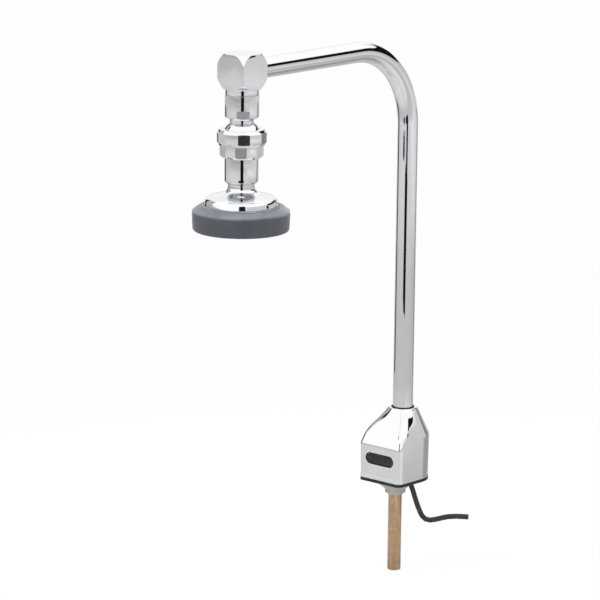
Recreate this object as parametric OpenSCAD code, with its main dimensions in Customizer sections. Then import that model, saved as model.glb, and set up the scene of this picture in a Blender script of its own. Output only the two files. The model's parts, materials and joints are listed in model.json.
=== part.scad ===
// Deck-mounted sensor faucet: a chrome base with an infrared eye, a tall bent spout
// and a spray head that hangs from a ball joint.
// Millimetres. Z is up, the eye and the spout face -Y, X is to the right seen from the front.
// The origin is the centre of the deck hole, on the top of the deck.

/* [Base body] */
// Width of the body across its flat sides
body_w = 50.8; // [50.4:0.1:54]
// Flat front of the body, measured forward from the riser axis
body_front = 33.5; // [33:0.1:36]
// Radius of the two upright front corners
corner_r = 4.5; // [3:0.5:6]
// Height of the body above the gasket
body_h = 66.5; // [66.5:0.5:72]
// Height of the upright front wall above the gasket
front_wall_h = 33.5; // [32:0.5:36]
// Height of the upright side and back walls above the gasket
side_wall_h = 41; // [40:0.5:43]
// Length over which the side walls climb from the front height to the side height
shoulder_run = 15; // [10:1:20]
// Wall of the cast body
body_wall = 2.6; // [2:0.1:3]
// Outside diameter of the neck at the top of the body
neck_d = 24; // [23.5:0.5:28]
// Height of the small lip round the foot of the body
lip_h = 3; // [2:0.5:4]
// How far the lip stands out
lip_out = 0.4; // [0.2:0.1:0.8]
// Draft: how much narrower the body is at its foot, on each side
body_draft = 0.7; // [0.4:0.1:1]
// Thickness of the rubber gasket under the body
gasket_t = 3; // [2:0.5:4]
// Thickness of the base plate inside the foot of the body
plate_t = 4; // [3:0.5:4.5]
// Riser axis behind the centre of the deck hole
riser_back = 9; // [8.5:0.5:10]

/* [Base fasteners] */
// Diameter of the base screws
screw_d = 3; // [2.5:0.5:3.5]
// Diameter of the screw heads
screw_head_d = 5.8; // [5.4:0.2:6.2]
// Thickness of the screw heads
screw_head_t = 2; // [1.5:0.5:2.5]
// Length that a base screw reaches above the base plate
screw_grip = 8; // [6:1:8.5]
// Diameter of the bosses in the body
boss_d = 7; // [6.6:0.2:7.4]
// Height of the bosses above the base plate
boss_h = 9; // [9:0.1:9.2]

/* [Sensor eye] */
// Length of the window slot
window_l = 34; // [28:1:36]
// Height of the window slot
window_h = 10.6; // [9:0.2:11]
// Centre of the window above the gasket
window_up = 20; // [19.8:0.1:21]
// Width of the rubber rim round the lens
rim_w = 0.8; // [0.6:0.1:1.2]
// How deep the face of the lens lies behind the front of the body
lens_sink = 0.4; // [0.2:0.1:0.8]
// Thickness of the lens flange behind the wall
lens_flange_t = 1; // [0.8:0.1:1.4]
// Depth of the sensor housing
housing_depth = 5.5; // [5:0.1:5.6]
// Wall of the sensor housing
housing_wall = 1.2; // [0.8:0.1:1.5]
// Thickness of the circuit board
board_t = 1.2; // [0.8:0.1:1.6]
// Distance between the emitter and the receiver
eye_pitch = 14; // [10:1:18]
// Diameter of the emitter and of the receiver lens
eye_d = 3; // [2:0.5:3.5]

/* [Deck fitting] */
// Diameter of the spigot that fills the deck hole
spigot_d = 34.8; // [34:0.2:36]
// Depth of the spigot below the deck surface
spigot_h = 2.5; // [2:0.5:4]
// Height of the cone under the spigot
hub_cone_h = 6.4; // [4:0.2:8]
// Diameter of the hub under the cone
hub_d = 19.5; // [18:0.5:22]
// Height of the hub under the cone
hub_h = 3.1; // [2:0.1:8]
// Diameter of the threaded nose of the hub, inside the body
nose_d = 17; // [16.4:0.2:17.6]
// Height of the threaded nose above the base plate
nose_h = 4; // [3:0.5:4.5]

/* [Supply tube] */
// Outside diameter of the copper tube
copper_d = 12.7; // [12:0.1:13]
// Wall of the copper tube
copper_wall = 1; // [0.7:0.1:1.2]
// Length of the copper tube below the hub
copper_drop = 76; // [40:1:120]
// Outside diameter of the brass ferrule
ferrule_d = 14.4; // [14:0.2:18]
// Height of the brass ferrule
ferrule_h = 2; // [1.5:0.5:4]

/* [Cord] */
// Diameter of the cord
cord_d = 5; // [4:0.5:5]
// Cord exit to the right of the deck hole centre
cord_x = 13; // [13:0.1:13.2]
// Cord exit behind the deck hole centre
cord_y = 7; // [7:0.1:7.2]

/* [Waterway] */
// Height of the inlet boss above the base plate
inlet_boss_h = 9; // [8.8:0.1:9.2]
// Diameter of the inlet boss
inlet_boss_d = 20.4; // [20:0.1:20.4]
// Diameter of the drilled channels
channel_d = 3.6; // [2:0.2:3.6]
// Diameter of the upright pipe below the spout socket
pipe_d = 12; // [11:0.1:12]
// Diameter of the water bore in the upright pipe
pipe_bore = 7; // [5:0.5:8]
// Diameter of the spout socket
socket_d = 21.6; // [20.5:0.2:22]
// Bore of the spout socket
socket_bore = 16; // [15.6:0.1:16.4]
// Depth of the spout socket
socket_depth = 14; // [13.5:0.1:15]

/* [Solenoid valve] */
// Room between the coil and the back wall of the body
coil_room = 1; // [0.8:0.1:1]
// Diameter of the valve boss
valve_boss_d = 16.6; // [16.2:0.1:16.6]
// Bore of the valve chamber
chamber_d = 12; // [10:0.5:13]
// Diameter of the valve seat
seat_d = 5.6; // [5:0.2:6.4]
// Diameter of the hole through the valve seat
orifice_d = 4; // [2.4:0.2:4.4]
// Outside diameter of the guide tube
guide_d = 8.4; // [8:0.1:8.8]
// Wall of the guide tube
guide_wall = 0.4; // [0.3:0.05:0.5]
// Diameter of the coil
coil_d = 15.6; // [14.4:0.2:15.8]
// Thickness of the steel yoke
yoke_t = 1.2; // [0.8:0.1:1.2]
// Lift of the plunger
plunger_lift = 2; // [1:0.1:2.4]
// Wire of the plunger spring
spring_wire = 0.5; // [0.4:0.1:0.6]
// Turns of the plunger spring
spring_turns = 5; // [4:1:6]

/* [Spout] */
// Outside diameter of the spout tube
tube_d = 19.05; // [18.8:0.05:19.1]
// Wall of the spout tube
tube_wall = 1.2; // [1:0.05:1.4]
// Height of the arm above the neck of the body
rise = 345.5; // [250:0.5:420]
// Reach from the riser axis to the head axis
reach = 228.6; // [180:0.2:300]
// Centreline radius of the bend
bend_r = 76.2; // [50:0.2:100]
// Height of the neck bushing
bushing_h = 7.2; // [5:0.2:7.2]
// Running clearance on the radius of the swivel
swivel_gap = 0.07; // [0.04:0.01:0.1]
// Thickness of the shoulder that keeps the spout in the body
shoulder_t = 2.4; // [2:0.1:2.6]

/* [Elbow] */
// Side of the cube that the elbow is turned from
elbow_side = 31.5; // [28:0.5:34]
// Diameter of the sphere that rounds the elbow
elbow_sphere_d = 46; // [44:0.2:49]
// Diameter of the round hub under the elbow
elbow_hub_d = 30.2; // [28:0.2:31]
// Bottom of the hub below the arm axis
elbow_drop = 20.9; // [19:0.1:24]
// Bore of the water passage
water_bore = 11; // [9:0.5:12]
// Depth of the socket that holds the arm
arm_socket = 9; // [6:0.5:9]

/* [Ball joint] */
// Ball centre below the arm axis
ball_drop = 60; // [59:0.5:66]
// Diameter of the ball
ball_d = 35.2; // [35:0.1:35.4]
// Diameter of the collar above the ball
collar_d = 30.7; // [28:0.1:32]
// Bottom of the collar above the ball centre
collar_bottom = 17.3; // [17:0.1:18]
// Width across the two wrench flats of the collar
collar_flats = 28.4; // [27:0.1:29]
// Height of the wrench flats
flats_h = 6.5; // [4:0.5:8]
// Diameter of the neck above the ball
ball_neck_d = 21.2; // [19:0.2:21.4]
// Tilt of the head to each side, about each of the two axes
tilt_limit = 10; // [5:1:10]
// Clearance between the ball and what it turns in
ball_gap = 0.08; // [0.05:0.01:0.1]
// Thickness of the liner round the ball
liner_t = 1.15; // [0.9:0.05:1.2]

/* [Nuts and sleeve] */
// Diameter of the union nut over its rounded corners
union_d = 44.6; // [44:0.1:47]
// Width across the flats of the union nut
union_flats = 43.5; // [43:0.1:44]
// Diameter of the socket nut over its rounded corners
nut_d = 39.2; // [38.8:0.1:41]
// Width across the flats of the socket nut
nut_flats = 37.8; // [37.4:0.1:38.6]
// Height of the socket nut
nut_h = 11.2; // [11:0.1:13]
// Diameter of the sleeve
sleeve_d = 30.4; // [29:0.2:32]
// Height of the sleeve
sleeve_h = 20.9; // [20.6:0.1:23]

/* [Spray head] */
// Diameter of the bell neck
bell_neck_d = 24; // [23:0.2:25]
// Height of the bell neck
bell_neck_h = 3.6; // [3:0.1:5]
// Diameter of the shoulder of the bell
bell_shoulder_d = 65.2; // [60:0.2:66]
// Diameter of the bell where it enters the bumper
bell_rim_d = 72.4; // [72:0.2:74]
// Height of the bell from its neck to the rim
bell_h = 15.9; // [15:0.1:18]
// Wall of the bell
bell_wall = 1.8; // [1.4:0.1:2.2]
// Outside diameter of the rubber bumper
bumper_d = 88; // [84:0.5:96]
// Height of the rubber bumper
bumper_h = 20.8; // [20:0.1:24]
// Draft of the bumper on the radius
bumper_draft = 0.8; // [0:0.1:1.5]
// Fillet of the bumper edges
bumper_fillet = 2.5; // [1:0.5:3]
// Thickness of the spray plate
plate_face_t = 2.3; // [1.5:0.1:2.5]
// Depth of the spray plate inside the bumper
plate_recess = 3.2; // [2.6:0.1:3.6]
// Diameter of one spray hole
spray_hole_d = 1.8; // [1.2:0.1:2.4]
// Rings of spray holes
spray_rings = 4; // [2:1:5]

/* [Hidden] */
$fn = 96;
// Small gap between pieces that are screwed or pushed together
fit_gap = 0.05;
// Gap that keeps a rubber piece clear of a piece that turns past it
soft_gap = 0.3;
// Overlap that makes a cut run clean through a face
eps = 0.5;
// Segments of the circles that a hull is stretched over
hull_fn = 48;

// Heights of the base
plate_z = gasket_t;
inside_z = gasket_t + plate_t;
body_top = gasket_t + body_h;
front_top = gasket_t + front_wall_h;
side_top = gasket_t + side_wall_h;
front_y = riser_back - body_front;
foot_inset = body_draft - lip_out;
wall_y = front_y + body_wall;
// Front face at the height of the window, which the draft moves back
eye_y = front_y + body_draft * (1 - window_up / front_wall_h);

// Heights of the swivel, counted down from the top of the neck
neck_seal_h = 2;
neck_seal_proud = 0.5;
ring_t = 0.8;
tube_r = tube_d / 2;
tube_in_r = tube_r - tube_wall;
neck_bore_r = 10.4;
ring_z = body_top - neck_seal_h - ring_t;
bushing_z = ring_z - bushing_h;
foot_shoulder_z = bushing_z - soft_gap - shoulder_t;
socket_top = foot_shoulder_z - 2 * fit_gap;
cavity_roof_z = socket_top + 1;
cavity_roof_r = socket_d / 2 + 1.2;
// Grooves of the two O-rings below the shoulder of the spout foot
foot_grooves = [3.6, 8];
foot_groove_w = 2;
foot_groove_r = socket_bore / 2 - swivel_gap - 1.3;

// Base screw places, on the right side of the body
screw_out = body_w / 2 - body_wall - screw_head_d / 2 - soft_gap;
back_screw_turn = 36;
screw_xy = [
    [screw_out, front_y + body_w / 2 - screw_out],
    [screw_out * cos(back_screw_turn), riser_back + screw_out * sin(back_screw_turn)]
];

// Window and sensor
window_z = gasket_t + window_up;
flange_over = 1.1;
lens_len = window_l - 2 * rim_w;
lens_hgt = window_h - 2 * rim_w;
flange_back = wall_y + lens_flange_t;
housing_back = flange_back + housing_depth;
housing_len = window_l + 1;
housing_hgt = window_h + 2.6;
board_back = housing_back - 0.4;
board_front = board_back - board_t;
eye_tip = flange_back + 0.5;

// Deck fitting
spigot_r = spigot_d / 2;
hub_bottom = -spigot_h - hub_cone_h - hub_h;
nose_top = inside_z + nose_h;
copper_top = nose_top - 2;
copper_bottom = hub_bottom - copper_drop;
copper_neck_r = copper_d / 2 - 0.3;
copper_step_z = hub_bottom - ferrule_h - 0.3;
grommet_r = cord_d / 2 + 0.9;
notch_r = cord_d / 2 + 1.8;

// Waterway block and valve
valve_back = body_w / 2 - body_wall - coil_d / 2 - coil_room;
valve_y = riser_back + valve_back;
valve_boss_h = 15;
seat_h = 10.5;
seat_rim_h = 1;
o_ring_room = 1.7;
web_gap = 2;
valve_boss_top = inside_z + valve_boss_h;
seat_top = inside_z + seat_h;
chamber_floor = seat_top - seat_rim_h;
low_channel_z = nose_top + o_ring_room + 1.1;
high_channel_z = seat_top + o_ring_room;
pipe_foot_z = high_channel_z - channel_d / 2;
pipe_top = socket_top - socket_depth;
socket_floor_t = 2;
guide_flange_t = 1.2;
clip_t = 1;
yoke_z = valve_boss_top + guide_flange_t;
coil_z = yoke_z + yoke_t;
guide_top = pipe_top - socket_floor_t - 4 * fit_gap;
yoke_top = guide_top - soft_gap - clip_t;
coil_h = yoke_top - yoke_t - coil_z;
guide_in_r = guide_d / 2 - guide_wall;
plunger_r = guide_in_r - 0.09;
disc_t = 1.5;
disc_sink = 0.9;
plunger_z = seat_top + 2 * fit_gap + disc_t - disc_sink;
spring_room = plunger_lift + spring_turns * spring_wire + 1.8;
plunger_top = guide_top - guide_wall - spring_room;

// Head, measured in a frame on the ball centre
arm_z = body_top + rise;
head_y = riser_back - reach;
ball_z = arm_z - ball_drop;
ball_r = ball_d / 2;
ball_bottom = -14.5;
collar_top = ball_drop - elbow_drop - fit_gap;
stem_thread_r = 9.4;
stem_thread_h = 8;
washer_t = 1.5;
liner_low = 0.5;
liner_high = 5;
liner_in_r = ball_r + ball_gap;
liner_out_r = liner_in_r + liner_t;
// Room that the liner's edges need when the head tilts past it
liner_room = (liner_out_r + ball_gap) * sin(tilt_limit) + 0.2;
union_top = 10.2;
union_bottom = -7.6;
socket_rim = liner_low - liner_room - 0.1;
nut_gap = 0.3;
nut_top = union_bottom - nut_gap;
nut_bottom = nut_top - nut_h;
thread_r = 19;
seal_r = 14;
seal_top = -10.4;
seal_bottom = -16;
spigot_thread_r = 12.5;
sleeve_top = nut_bottom - 0.4;
sleeve_bottom = sleeve_top - sleeve_h;
spigot_thread_end = sleeve_top - 7.5;
restrictor_t = 2.6;
washer_bottom = spigot_thread_end - fit_gap - washer_t;
restrictor_bottom = washer_bottom - fit_gap - restrictor_t;
bell_top = sleeve_bottom - 0.1;
bell_rim_z = bell_top - bell_neck_h - bell_h;
bell_thread_r = 10.45;
bell_rim_r = bell_rim_d / 2;
bumper_top = bell_rim_z - 2.6;
bumper_bottom = bumper_top - bumper_h;
bumper_r = bumper_d / 2;
plate_bottom = bumper_bottom + plate_recess;
plate_top = plate_bottom + plate_face_t;
skirt_bottom = plate_top + fit_gap;
post_r = 4;
face_screw_r = 1.5;
face_screw_l = 8;

// Turn of the flats, as the photograph shows them
camera_turn = 43.5;
collar_turn = camera_turn + 6.5;
union_turn = camera_turn + 4.5;
nut_turn = camera_turn - 3;

// Route of the free cord, in the upright plane through its exit: outward and height
cord_plane = 43.5;
cord_route = [
    [0, 10], [0, 4], [0, -2], [0.6, -5.4], [2, -9], [3.4, -13.6], [5.2, -19.4], [7.2, -25.2], [9.2, -30.4],
    [11.6, -35], [14.8, -38], [19, -39], [24.8, -38.2], [30.4, -36.8], [36, -35.6], [42.6, -35.2],
    [49.4, -35.4], [55.4, -35.8]
];
cord_sides = 12;
lead_d = 2;
lead_split = 1.1;
// Routes of the two thin leads inside the body
sensor_route = [
    [cord_x - lead_split, cord_y, 10], [cord_x - lead_split, cord_y, 12], [12.4, 5, 15], [13, 0, 18.5],
    [13, -4.5, 21.5], [12, -9, 23.2], [12, board_back + 2, 23.2], [12, board_back, 23.2]
];
coil_route = [
    [cord_x + lead_split, cord_y, 10], [cord_x + lead_split, cord_y, 12.5], [14.4, 10, 17], [14.4, 15, 22],
    [13.6, 19, 26], [12, valve_y, 30], [coil_d / 2 + 1.5, valve_y, 30], [coil_d / 2 - 0.5, valve_y, 30]
];

// Unit vector and cross product helpers for the swept tubes
function unit(v) = v / norm(v);
function along(p, i) = unit(p[min(i + 1, len(p) - 1)] - p[max(i - 1, 0)]);
function side_of(d) = unit(cross(d, abs(d[2]) > 0.9 ? [0, 1, 0] : [0, 0, 1]));
// Each frame is turned as little as possible from the one before it
function carry(p, i) =
    i == 0 ? side_of(along(p, 0))
    : let (s = carry(p, i - 1), d = along(p, i)) unit(s - (s * d) * d);
function ring_at(p, i, r, n) =
    let (d = along(p, i), s = carry(p, i), t = cross(d, s))
    [for (k = [0 : n - 1]) p[i] + r * (cos(360 * k / n) * s + sin(360 * k / n) * t)];

// Closed tube of n sides swept along the points p
module swept_tube(p, r, n) {
    last = len(p) - 1;
    pts = [for (i = [0 : last]) each ring_at(p, i, r, n)];
    sides = [
        for (i = [0 : last - 1]) for (k = [0 : n - 1]) each [
            [i * n + k, i * n + (k + 1) % n, (i + 1) * n + k],
            [i * n + (k + 1) % n, (i + 1) * n + (k + 1) % n, (i + 1) * n + k]
        ]
    ];
    start_cap = [for (k = [1 : n - 2]) [0, k + 1, k]];
    end_cap = [for (k = [1 : n - 2]) [last * n, last * n + k, last * n + k + 1]];
    polyhedron(points = pts, faces = concat([for (f = sides) [f[0], f[2], f[1]]],
        [for (f = start_cap) [f[0], f[2], f[1]]], [for (f = end_cap) [f[0], f[2], f[1]]]));
}

// Point on a cubic curve
function curve_point(a, b, c, d, t) =
    pow(1 - t, 3) * a + 3 * pow(1 - t, 2) * t * b + 3 * (1 - t) * t * t * c + pow(t, 3) * d;
function curve(a, b, c, d, n) = [for (i = [0 : n]) curve_point(a, b, c, d, i / n)];
// Arc about a centre, as points
function arc(c, r, from, to, n) =
    [for (i = [0 : n]) let (a = from + (to - from) * i / n) c + r * [cos(a), sin(a)]];

// Ring with a square section
module ring(inner_r, outer_r, h) {
    difference() {
        cylinder(r = outer_r, h = h);
        translate([0, 0, -eps]) cylinder(r = inner_r, h = h + 2 * eps);
    }
}

// Round-section ring
module o_ring(mid_r, wire_r) {
    rotate_extrude() translate([mid_r, 0]) circle(r = wire_r, $fn = 24);
}

// Slot outline with round ends, lying in X and Y
module slot_outline(l, h) {
    square([l - h, h], center = true);
    for (s = [-1, 1]) translate([s * (l - h) / 2, 0]) circle(d = h);
}

// Slot outline standing in the front wall, from y0 to y1
module front_slot(l, h, y0, y1) {
    translate([0, y1, window_z]) rotate([90, 0, 0]) linear_extrude(y1 - y0) slot_outline(l, h);
}

// Plan of the body: flat front and sides, round back, drawn in by inset
module body_plan(inset) {
    half = body_w / 2 - inset;
    front = body_front - inset;
    r = max(corner_r - inset, 0.6);
    translate([0, riser_back]) {
        circle(r = half);
        translate([-half, -front + r]) square([2 * half, front - r]);
        translate([-half + r, -front]) square([2 * (half - r), front]);
        for (s = [-1, 1]) translate([s * (half - r), -front + r]) circle(r = r);
    }
}

// Body form: upright plan, narrower by the draft at its foot, then a shoulder drawn up to a round top
module body_form(inset, draft, bottom, front_z, side_z, top_r, top_z) {
    slab = 1;
    hull() {
        translate([0, 0, bottom]) linear_extrude(slab) body_plan(inset + draft, $fn = hull_fn);
        translate([0, 0, front_z - slab]) linear_extrude(slab) body_plan(inset, $fn = hull_fn);
        translate([0, 0, side_z - slab]) linear_extrude(slab) intersection() {
            body_plan(inset, $fn = hull_fn);
            translate([-body_w, front_y + shoulder_run]) square([2 * body_w, 2 * body_w]);
        }
        translate([0, riser_back, top_z - slab]) cylinder(r = top_r, h = slab, $fn = hull_fn);
    }
}

// Places its children on every base screw axis
module at_screws() {
    for (p = screw_xy) for (s = [-1, 1]) translate([s * p[0], p[1], 0]) children();
}

// Threaded holes that take the base screws
module screw_holes() {
    at_screws() translate([0, 0, inside_z - eps]) cylinder(d = screw_d + 2 * fit_gap, h = screw_grip + 1);
}

// Base group

module faucet_body() color([0.80, 0.81, 0.83]) {
    groove_r = neck_bore_r + 0.5;
    difference() {
        union() {
            body_form(0, body_draft, gasket_t, front_top, side_top, neck_d / 2, body_top);
            translate([0, 0, gasket_t]) linear_extrude(lip_h) body_plan(foot_inset);
        }
        body_form(body_wall, fit_gap, gasket_t - eps, front_top - body_wall, side_top - body_wall,
            cavity_roof_r, cavity_roof_z);
        translate([0, riser_back, cavity_roof_z - eps]) cylinder(r = neck_bore_r, h = body_top);
        translate([0, riser_back, ring_z]) cylinder(r = groove_r, h = body_top);
        front_slot(window_l, window_h, front_y - eps, wall_y + 2 * eps);
        screw_holes();
    }
    difference() {
        intersection() {
            at_screws() translate([0, 0, inside_z]) cylinder(d = boss_d, h = boss_h);
            translate([0, 0, inside_z]) linear_extrude(boss_h) body_plan(body_draft + body_wall / 2);
        }
        screw_holes();
    }
}

module base_gasket() color([0.09, 0.09, 0.10]) {
    linear_extrude(gasket_t) difference() {
        body_plan(foot_inset);
        circle(r = spigot_r + fit_gap);
        translate([cord_x, cord_y]) circle(r = notch_r);
    }
}

module base_plate() color([0.55, 0.56, 0.57]) {
    difference() {
        translate([0, 0, plate_z]) linear_extrude(plate_t) body_plan(body_wall + 3 * fit_gap);
        translate([0, 0, plate_z - eps]) cylinder(d = nose_d + 4 * fit_gap, h = plate_t + 2 * eps);
        translate([cord_x, cord_y, plate_z - eps]) cylinder(r = grommet_r + 2 * fit_gap, h = plate_t + 2 * eps);
        at_screws() translate([0, 0, plate_z - eps]) {
            cylinder(d = screw_d + 4 * fit_gap, h = plate_t + 2 * eps);
            cylinder(d = screw_head_d + 4 * fit_gap, h = screw_head_t + eps);
        }
    }
}

module base_screws() color([0.70, 0.70, 0.72]) {
    at_screws() translate([0, 0, plate_z]) {
        difference() {
            cylinder(d = screw_head_d, h = screw_head_t);
            translate([0, 0, -eps]) cylinder(d = screw_head_d / 2, h = screw_head_t / 2 + eps, $fn = 6);
        }
        cylinder(d = screw_d, h = plate_t + screw_grip);
    }
}

module mounting_hub() color([0.72, 0.72, 0.70]) {
    difference() {
        union() {
            translate([0, 0, hub_bottom]) cylinder(d = hub_d, h = hub_h + eps);
            translate([0, 0, hub_bottom + hub_h]) cylinder(r1 = hub_d / 2, r2 = spigot_r, h = hub_cone_h);
            translate([0, 0, -spigot_h]) cylinder(r = spigot_r, h = spigot_h + gasket_t);
            translate([0, 0, gasket_t - eps]) cylinder(d = nose_d, h = nose_top - gasket_t + eps);
        }
        translate([0, 0, hub_bottom - eps])
            cylinder(r = copper_neck_r + fit_gap, h = copper_top - hub_bottom + eps);
        translate([0, 0, copper_top - eps]) cylinder(d = copper_d - 2 * copper_wall, h = nose_top);
        translate([cord_x, cord_y, hub_bottom]) cylinder(r = notch_r, h = gasket_t - hub_bottom + eps);
    }
}

module supply_tube() color([0.72, 0.50, 0.34]) {
    edge = copper_wall / 2;
    translate([0, 0, copper_bottom]) difference() {
        union() {
            cylinder(r1 = copper_d / 2 - edge, r2 = copper_d / 2, h = edge);
            translate([0, 0, edge]) cylinder(d = copper_d, h = copper_step_z - copper_bottom - edge);
            translate([0, 0, edge]) cylinder(r = copper_neck_r, h = copper_top - copper_bottom - edge);
        }
        translate([0, 0, -eps])
            cylinder(d = copper_d - 2 * copper_wall, h = copper_top - copper_bottom + 2 * eps);
    }
}

module supply_ferrule() color([0.78, 0.68, 0.42]) {
    translate([0, 0, hub_bottom - ferrule_h]) ring(copper_neck_r + fit_gap, ferrule_d / 2, ferrule_h);
}

module inlet_o_ring() color([0.12, 0.12, 0.13]) {
    wire_r = 0.8;
    translate([0, 0, nose_top + wire_r + fit_gap]) o_ring(nose_d / 2 - wire_r - 0.3, wire_r);
}

module waterway_block() color([0.76, 0.64, 0.36]) {
    low_web_z = inside_z + web_gap;
    low_web = [nose_d - 3, valve_y, seat_h - web_gap - eps];
    high_web_z = inside_z + inlet_boss_h - seat_rim_h;
    high_web = [channel_d + 4.4, valve_back, valve_boss_top - high_web_z];
    difference() {
        union() {
            translate([0, 0, inside_z]) cylinder(d = inlet_boss_d, h = inlet_boss_h);
            translate([-low_web[0] / 2, 0, low_web_z]) cube(low_web);
            translate([0, valve_y, low_web_z]) cylinder(d = valve_boss_d, h = valve_boss_top - low_web_z);
            translate([-high_web[0] / 2, riser_back, high_web_z]) cube(high_web);
            translate([0, riser_back, high_web_z]) cylinder(d = pipe_d, h = pipe_top - high_web_z);
            translate([0, riser_back, pipe_top - socket_floor_t])
                cylinder(d = socket_d, h = socket_depth + socket_floor_t);
        }
        translate([0, 0, inside_z - eps])
            cylinder(d = nose_d + 2 * fit_gap, h = nose_h + o_ring_room + eps);
        translate([0, 0, low_channel_z]) cylinder(d = channel_d + 4, h = channel_d, center = true);
        translate([0, 0, low_channel_z]) rotate([-90, 0, 0]) cylinder(d = channel_d, h = valve_y);
        translate([0, valve_y, low_channel_z]) cylinder(d = orifice_d, h = seat_top);
        translate([0, valve_y, chamber_floor]) difference() {
            cylinder(d = chamber_d, h = valve_boss_top);
            translate([0, 0, -eps]) cylinder(d = seat_d, h = seat_top - chamber_floor + eps);
        }
        translate([0, riser_back, high_channel_z]) rotate([-90, 0, 0])
            cylinder(d = channel_d, h = valve_back - seat_d / 2 - 0.6);
        translate([0, riser_back, pipe_foot_z]) cylinder(d = pipe_bore, h = socket_top);
        translate([0, riser_back, pipe_top]) cylinder(d = socket_bore, h = socket_top);
    }
}

module neck_bushing() color([0.88, 0.87, 0.83]) {
    translate([0, riser_back, bushing_z]) ring(tube_r + swivel_gap, neck_bore_r - fit_gap, bushing_h);
}

module retaining_ring() color([0.62, 0.63, 0.65]) {
    opening = 6;
    translate([0, riser_back, ring_z]) difference() {
        ring(tube_r + soft_gap, neck_bore_r + 0.4, ring_t - fit_gap);
        translate([0, -opening / 2, -eps]) cube([body_w, opening, 2 * ring_t]);
    }
}

module neck_seal_ring() color([0.08, 0.08, 0.09]) {
    translate([0, riser_back, ring_z + ring_t])
        ring(tube_r + soft_gap, neck_bore_r + 0.45, neck_seal_h + neck_seal_proud);
}

// Solenoid valve

module valve_guide_tube() color([0.66, 0.67, 0.69]) {
    translate([0, valve_y, valve_boss_top]) difference() {
        union() {
            cylinder(d = valve_boss_d - 1, h = guide_flange_t);
            cylinder(d = guide_d, h = guide_top - valve_boss_top);
        }
        translate([0, 0, -eps]) cylinder(r = guide_in_r, h = guide_top - valve_boss_top - guide_wall + eps);
    }
}

module solenoid_coil() color([0.15, 0.20, 0.24]) {
    cheek = 1;
    translate([0, valve_y, coil_z]) difference() {
        union() {
            cylinder(d = coil_d, h = cheek);
            translate([0, 0, coil_h - cheek]) cylinder(d = coil_d, h = cheek - fit_gap);
            cylinder(d = coil_d - 1, h = coil_h - cheek);
        }
        translate([0, 0, -eps]) cylinder(d = guide_d + 2 * fit_gap, h = coil_h + 2 * eps);
    }
}

module solenoid_yoke() color([0.50, 0.52, 0.54]) {
    strap_in = coil_d / 2 + 0.3;
    plate_w = 11;
    for (z = [yoke_z, yoke_top - yoke_t]) translate([0, valve_y, z]) difference() {
        translate([-strap_in - yoke_t, -plate_w / 2, 0]) cube([2 * strap_in, plate_w, yoke_t]);
        translate([0, 0, -eps]) cylinder(d = guide_d + 2 * fit_gap, h = yoke_t + 2 * eps);
    }
    translate([-strap_in - yoke_t, valve_y - plate_w / 2, yoke_z]) cube([yoke_t, plate_w, yoke_top - yoke_z]);
}

module coil_clip() color([0.60, 0.61, 0.62]) {
    translate([0, valve_y, yoke_top]) ring(guide_d / 2 + fit_gap, guide_d / 2 + 1.8, clip_t);
}

module valve_plunger() color([0.72, 0.73, 0.75]) {
    translate([0, valve_y, plunger_z]) difference() {
        cylinder(r = plunger_r, h = plunger_top - plunger_z);
        translate([0, 0, -eps]) cylinder(r = plunger_r - 0.7, h = disc_sink + eps);
    }
}

module valve_seat_disc() color([0.10, 0.10, 0.11]) {
    translate([0, valve_y, seat_top + 2 * fit_gap]) cylinder(r = plunger_r - 0.7 - fit_gap, h = disc_t);
}

// Open helix from the plunger up to the end of the guide tube
module plunger_spring() color([0.75, 0.76, 0.78]) {
    steps = 8;
    coil_r = plunger_r - spring_wire - 0.4;
    rise_h = spring_room - spring_wire - 2 * fit_gap;
    start_z = plunger_top + spring_wire / 2 + fit_gap;
    path = [
        for (i = [0 : spring_turns * steps]) let (a = 360 * i / steps)
        [coil_r * cos(a), valve_y + coil_r * sin(a), start_z + rise_h * i / (spring_turns * steps)]
    ];
    swept_tube(path, spring_wire / 2, 6);
}

// Sensor eye

module sensor_lens() color([0.16, 0.16, 0.19]) {
    front_slot(lens_len, lens_hgt, eye_y + lens_sink, wall_y + fit_gap);
    front_slot(window_l + 2 * flange_over, window_h + 2 * flange_over, wall_y + fit_gap, flange_back);
}

module lens_rim() color([0.05, 0.05, 0.06]) {
    difference() {
        front_slot(window_l - 2 * fit_gap, window_h - 2 * fit_gap, eye_y + lens_sink / 2, wall_y);
        front_slot(lens_len + 2 * fit_gap, lens_hgt + 2 * fit_gap, front_y - eps, wall_y + eps);
    }
}

module sensor_housing() color([0.13, 0.13, 0.15]) {
    inner_l = housing_len - 2 * housing_wall;
    inner_h = housing_hgt - 2 * housing_wall;
    divider = 1.6;
    translate([0, flange_back + fit_gap, window_z]) {
        difference() {
            translate([-housing_len / 2, 0, -housing_hgt / 2])
                cube([housing_len, housing_depth - fit_gap, housing_hgt]);
            translate([-inner_l / 2, -eps, -inner_h / 2]) cube([inner_l, housing_depth + 2 * eps, inner_h]);
        }
        translate([-divider / 2, 0, -housing_hgt / 2])
            cube([divider, board_front - flange_back - 2 * fit_gap, housing_hgt]);
    }
}

module sensor_board() color([0.10, 0.34, 0.22]) {
    l = housing_len - 2 * housing_wall - 2 * fit_gap;
    h = housing_hgt - 2 * housing_wall - 2 * fit_gap;
    translate([-l / 2, board_front, window_z - h / 2]) cube([l, board_t, h]);
}

// Small lens with a round nose that looks forward from the board
module eye_piece(x) {
    nose_y = eye_tip + eye_d / 2;
    translate([x, board_front, window_z]) rotate([90, 0, 0]) cylinder(d = eye_d, h = board_front - nose_y);
    translate([x, nose_y, window_z]) sphere(d = eye_d);
}

module infrared_emitter() color([0.55, 0.50, 0.62]) {
    eye_piece(-eye_pitch / 2);
}

module infrared_receiver() color([0.20, 0.18, 0.22]) {
    eye_piece(eye_pitch / 2);
}

// Wiring

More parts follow.
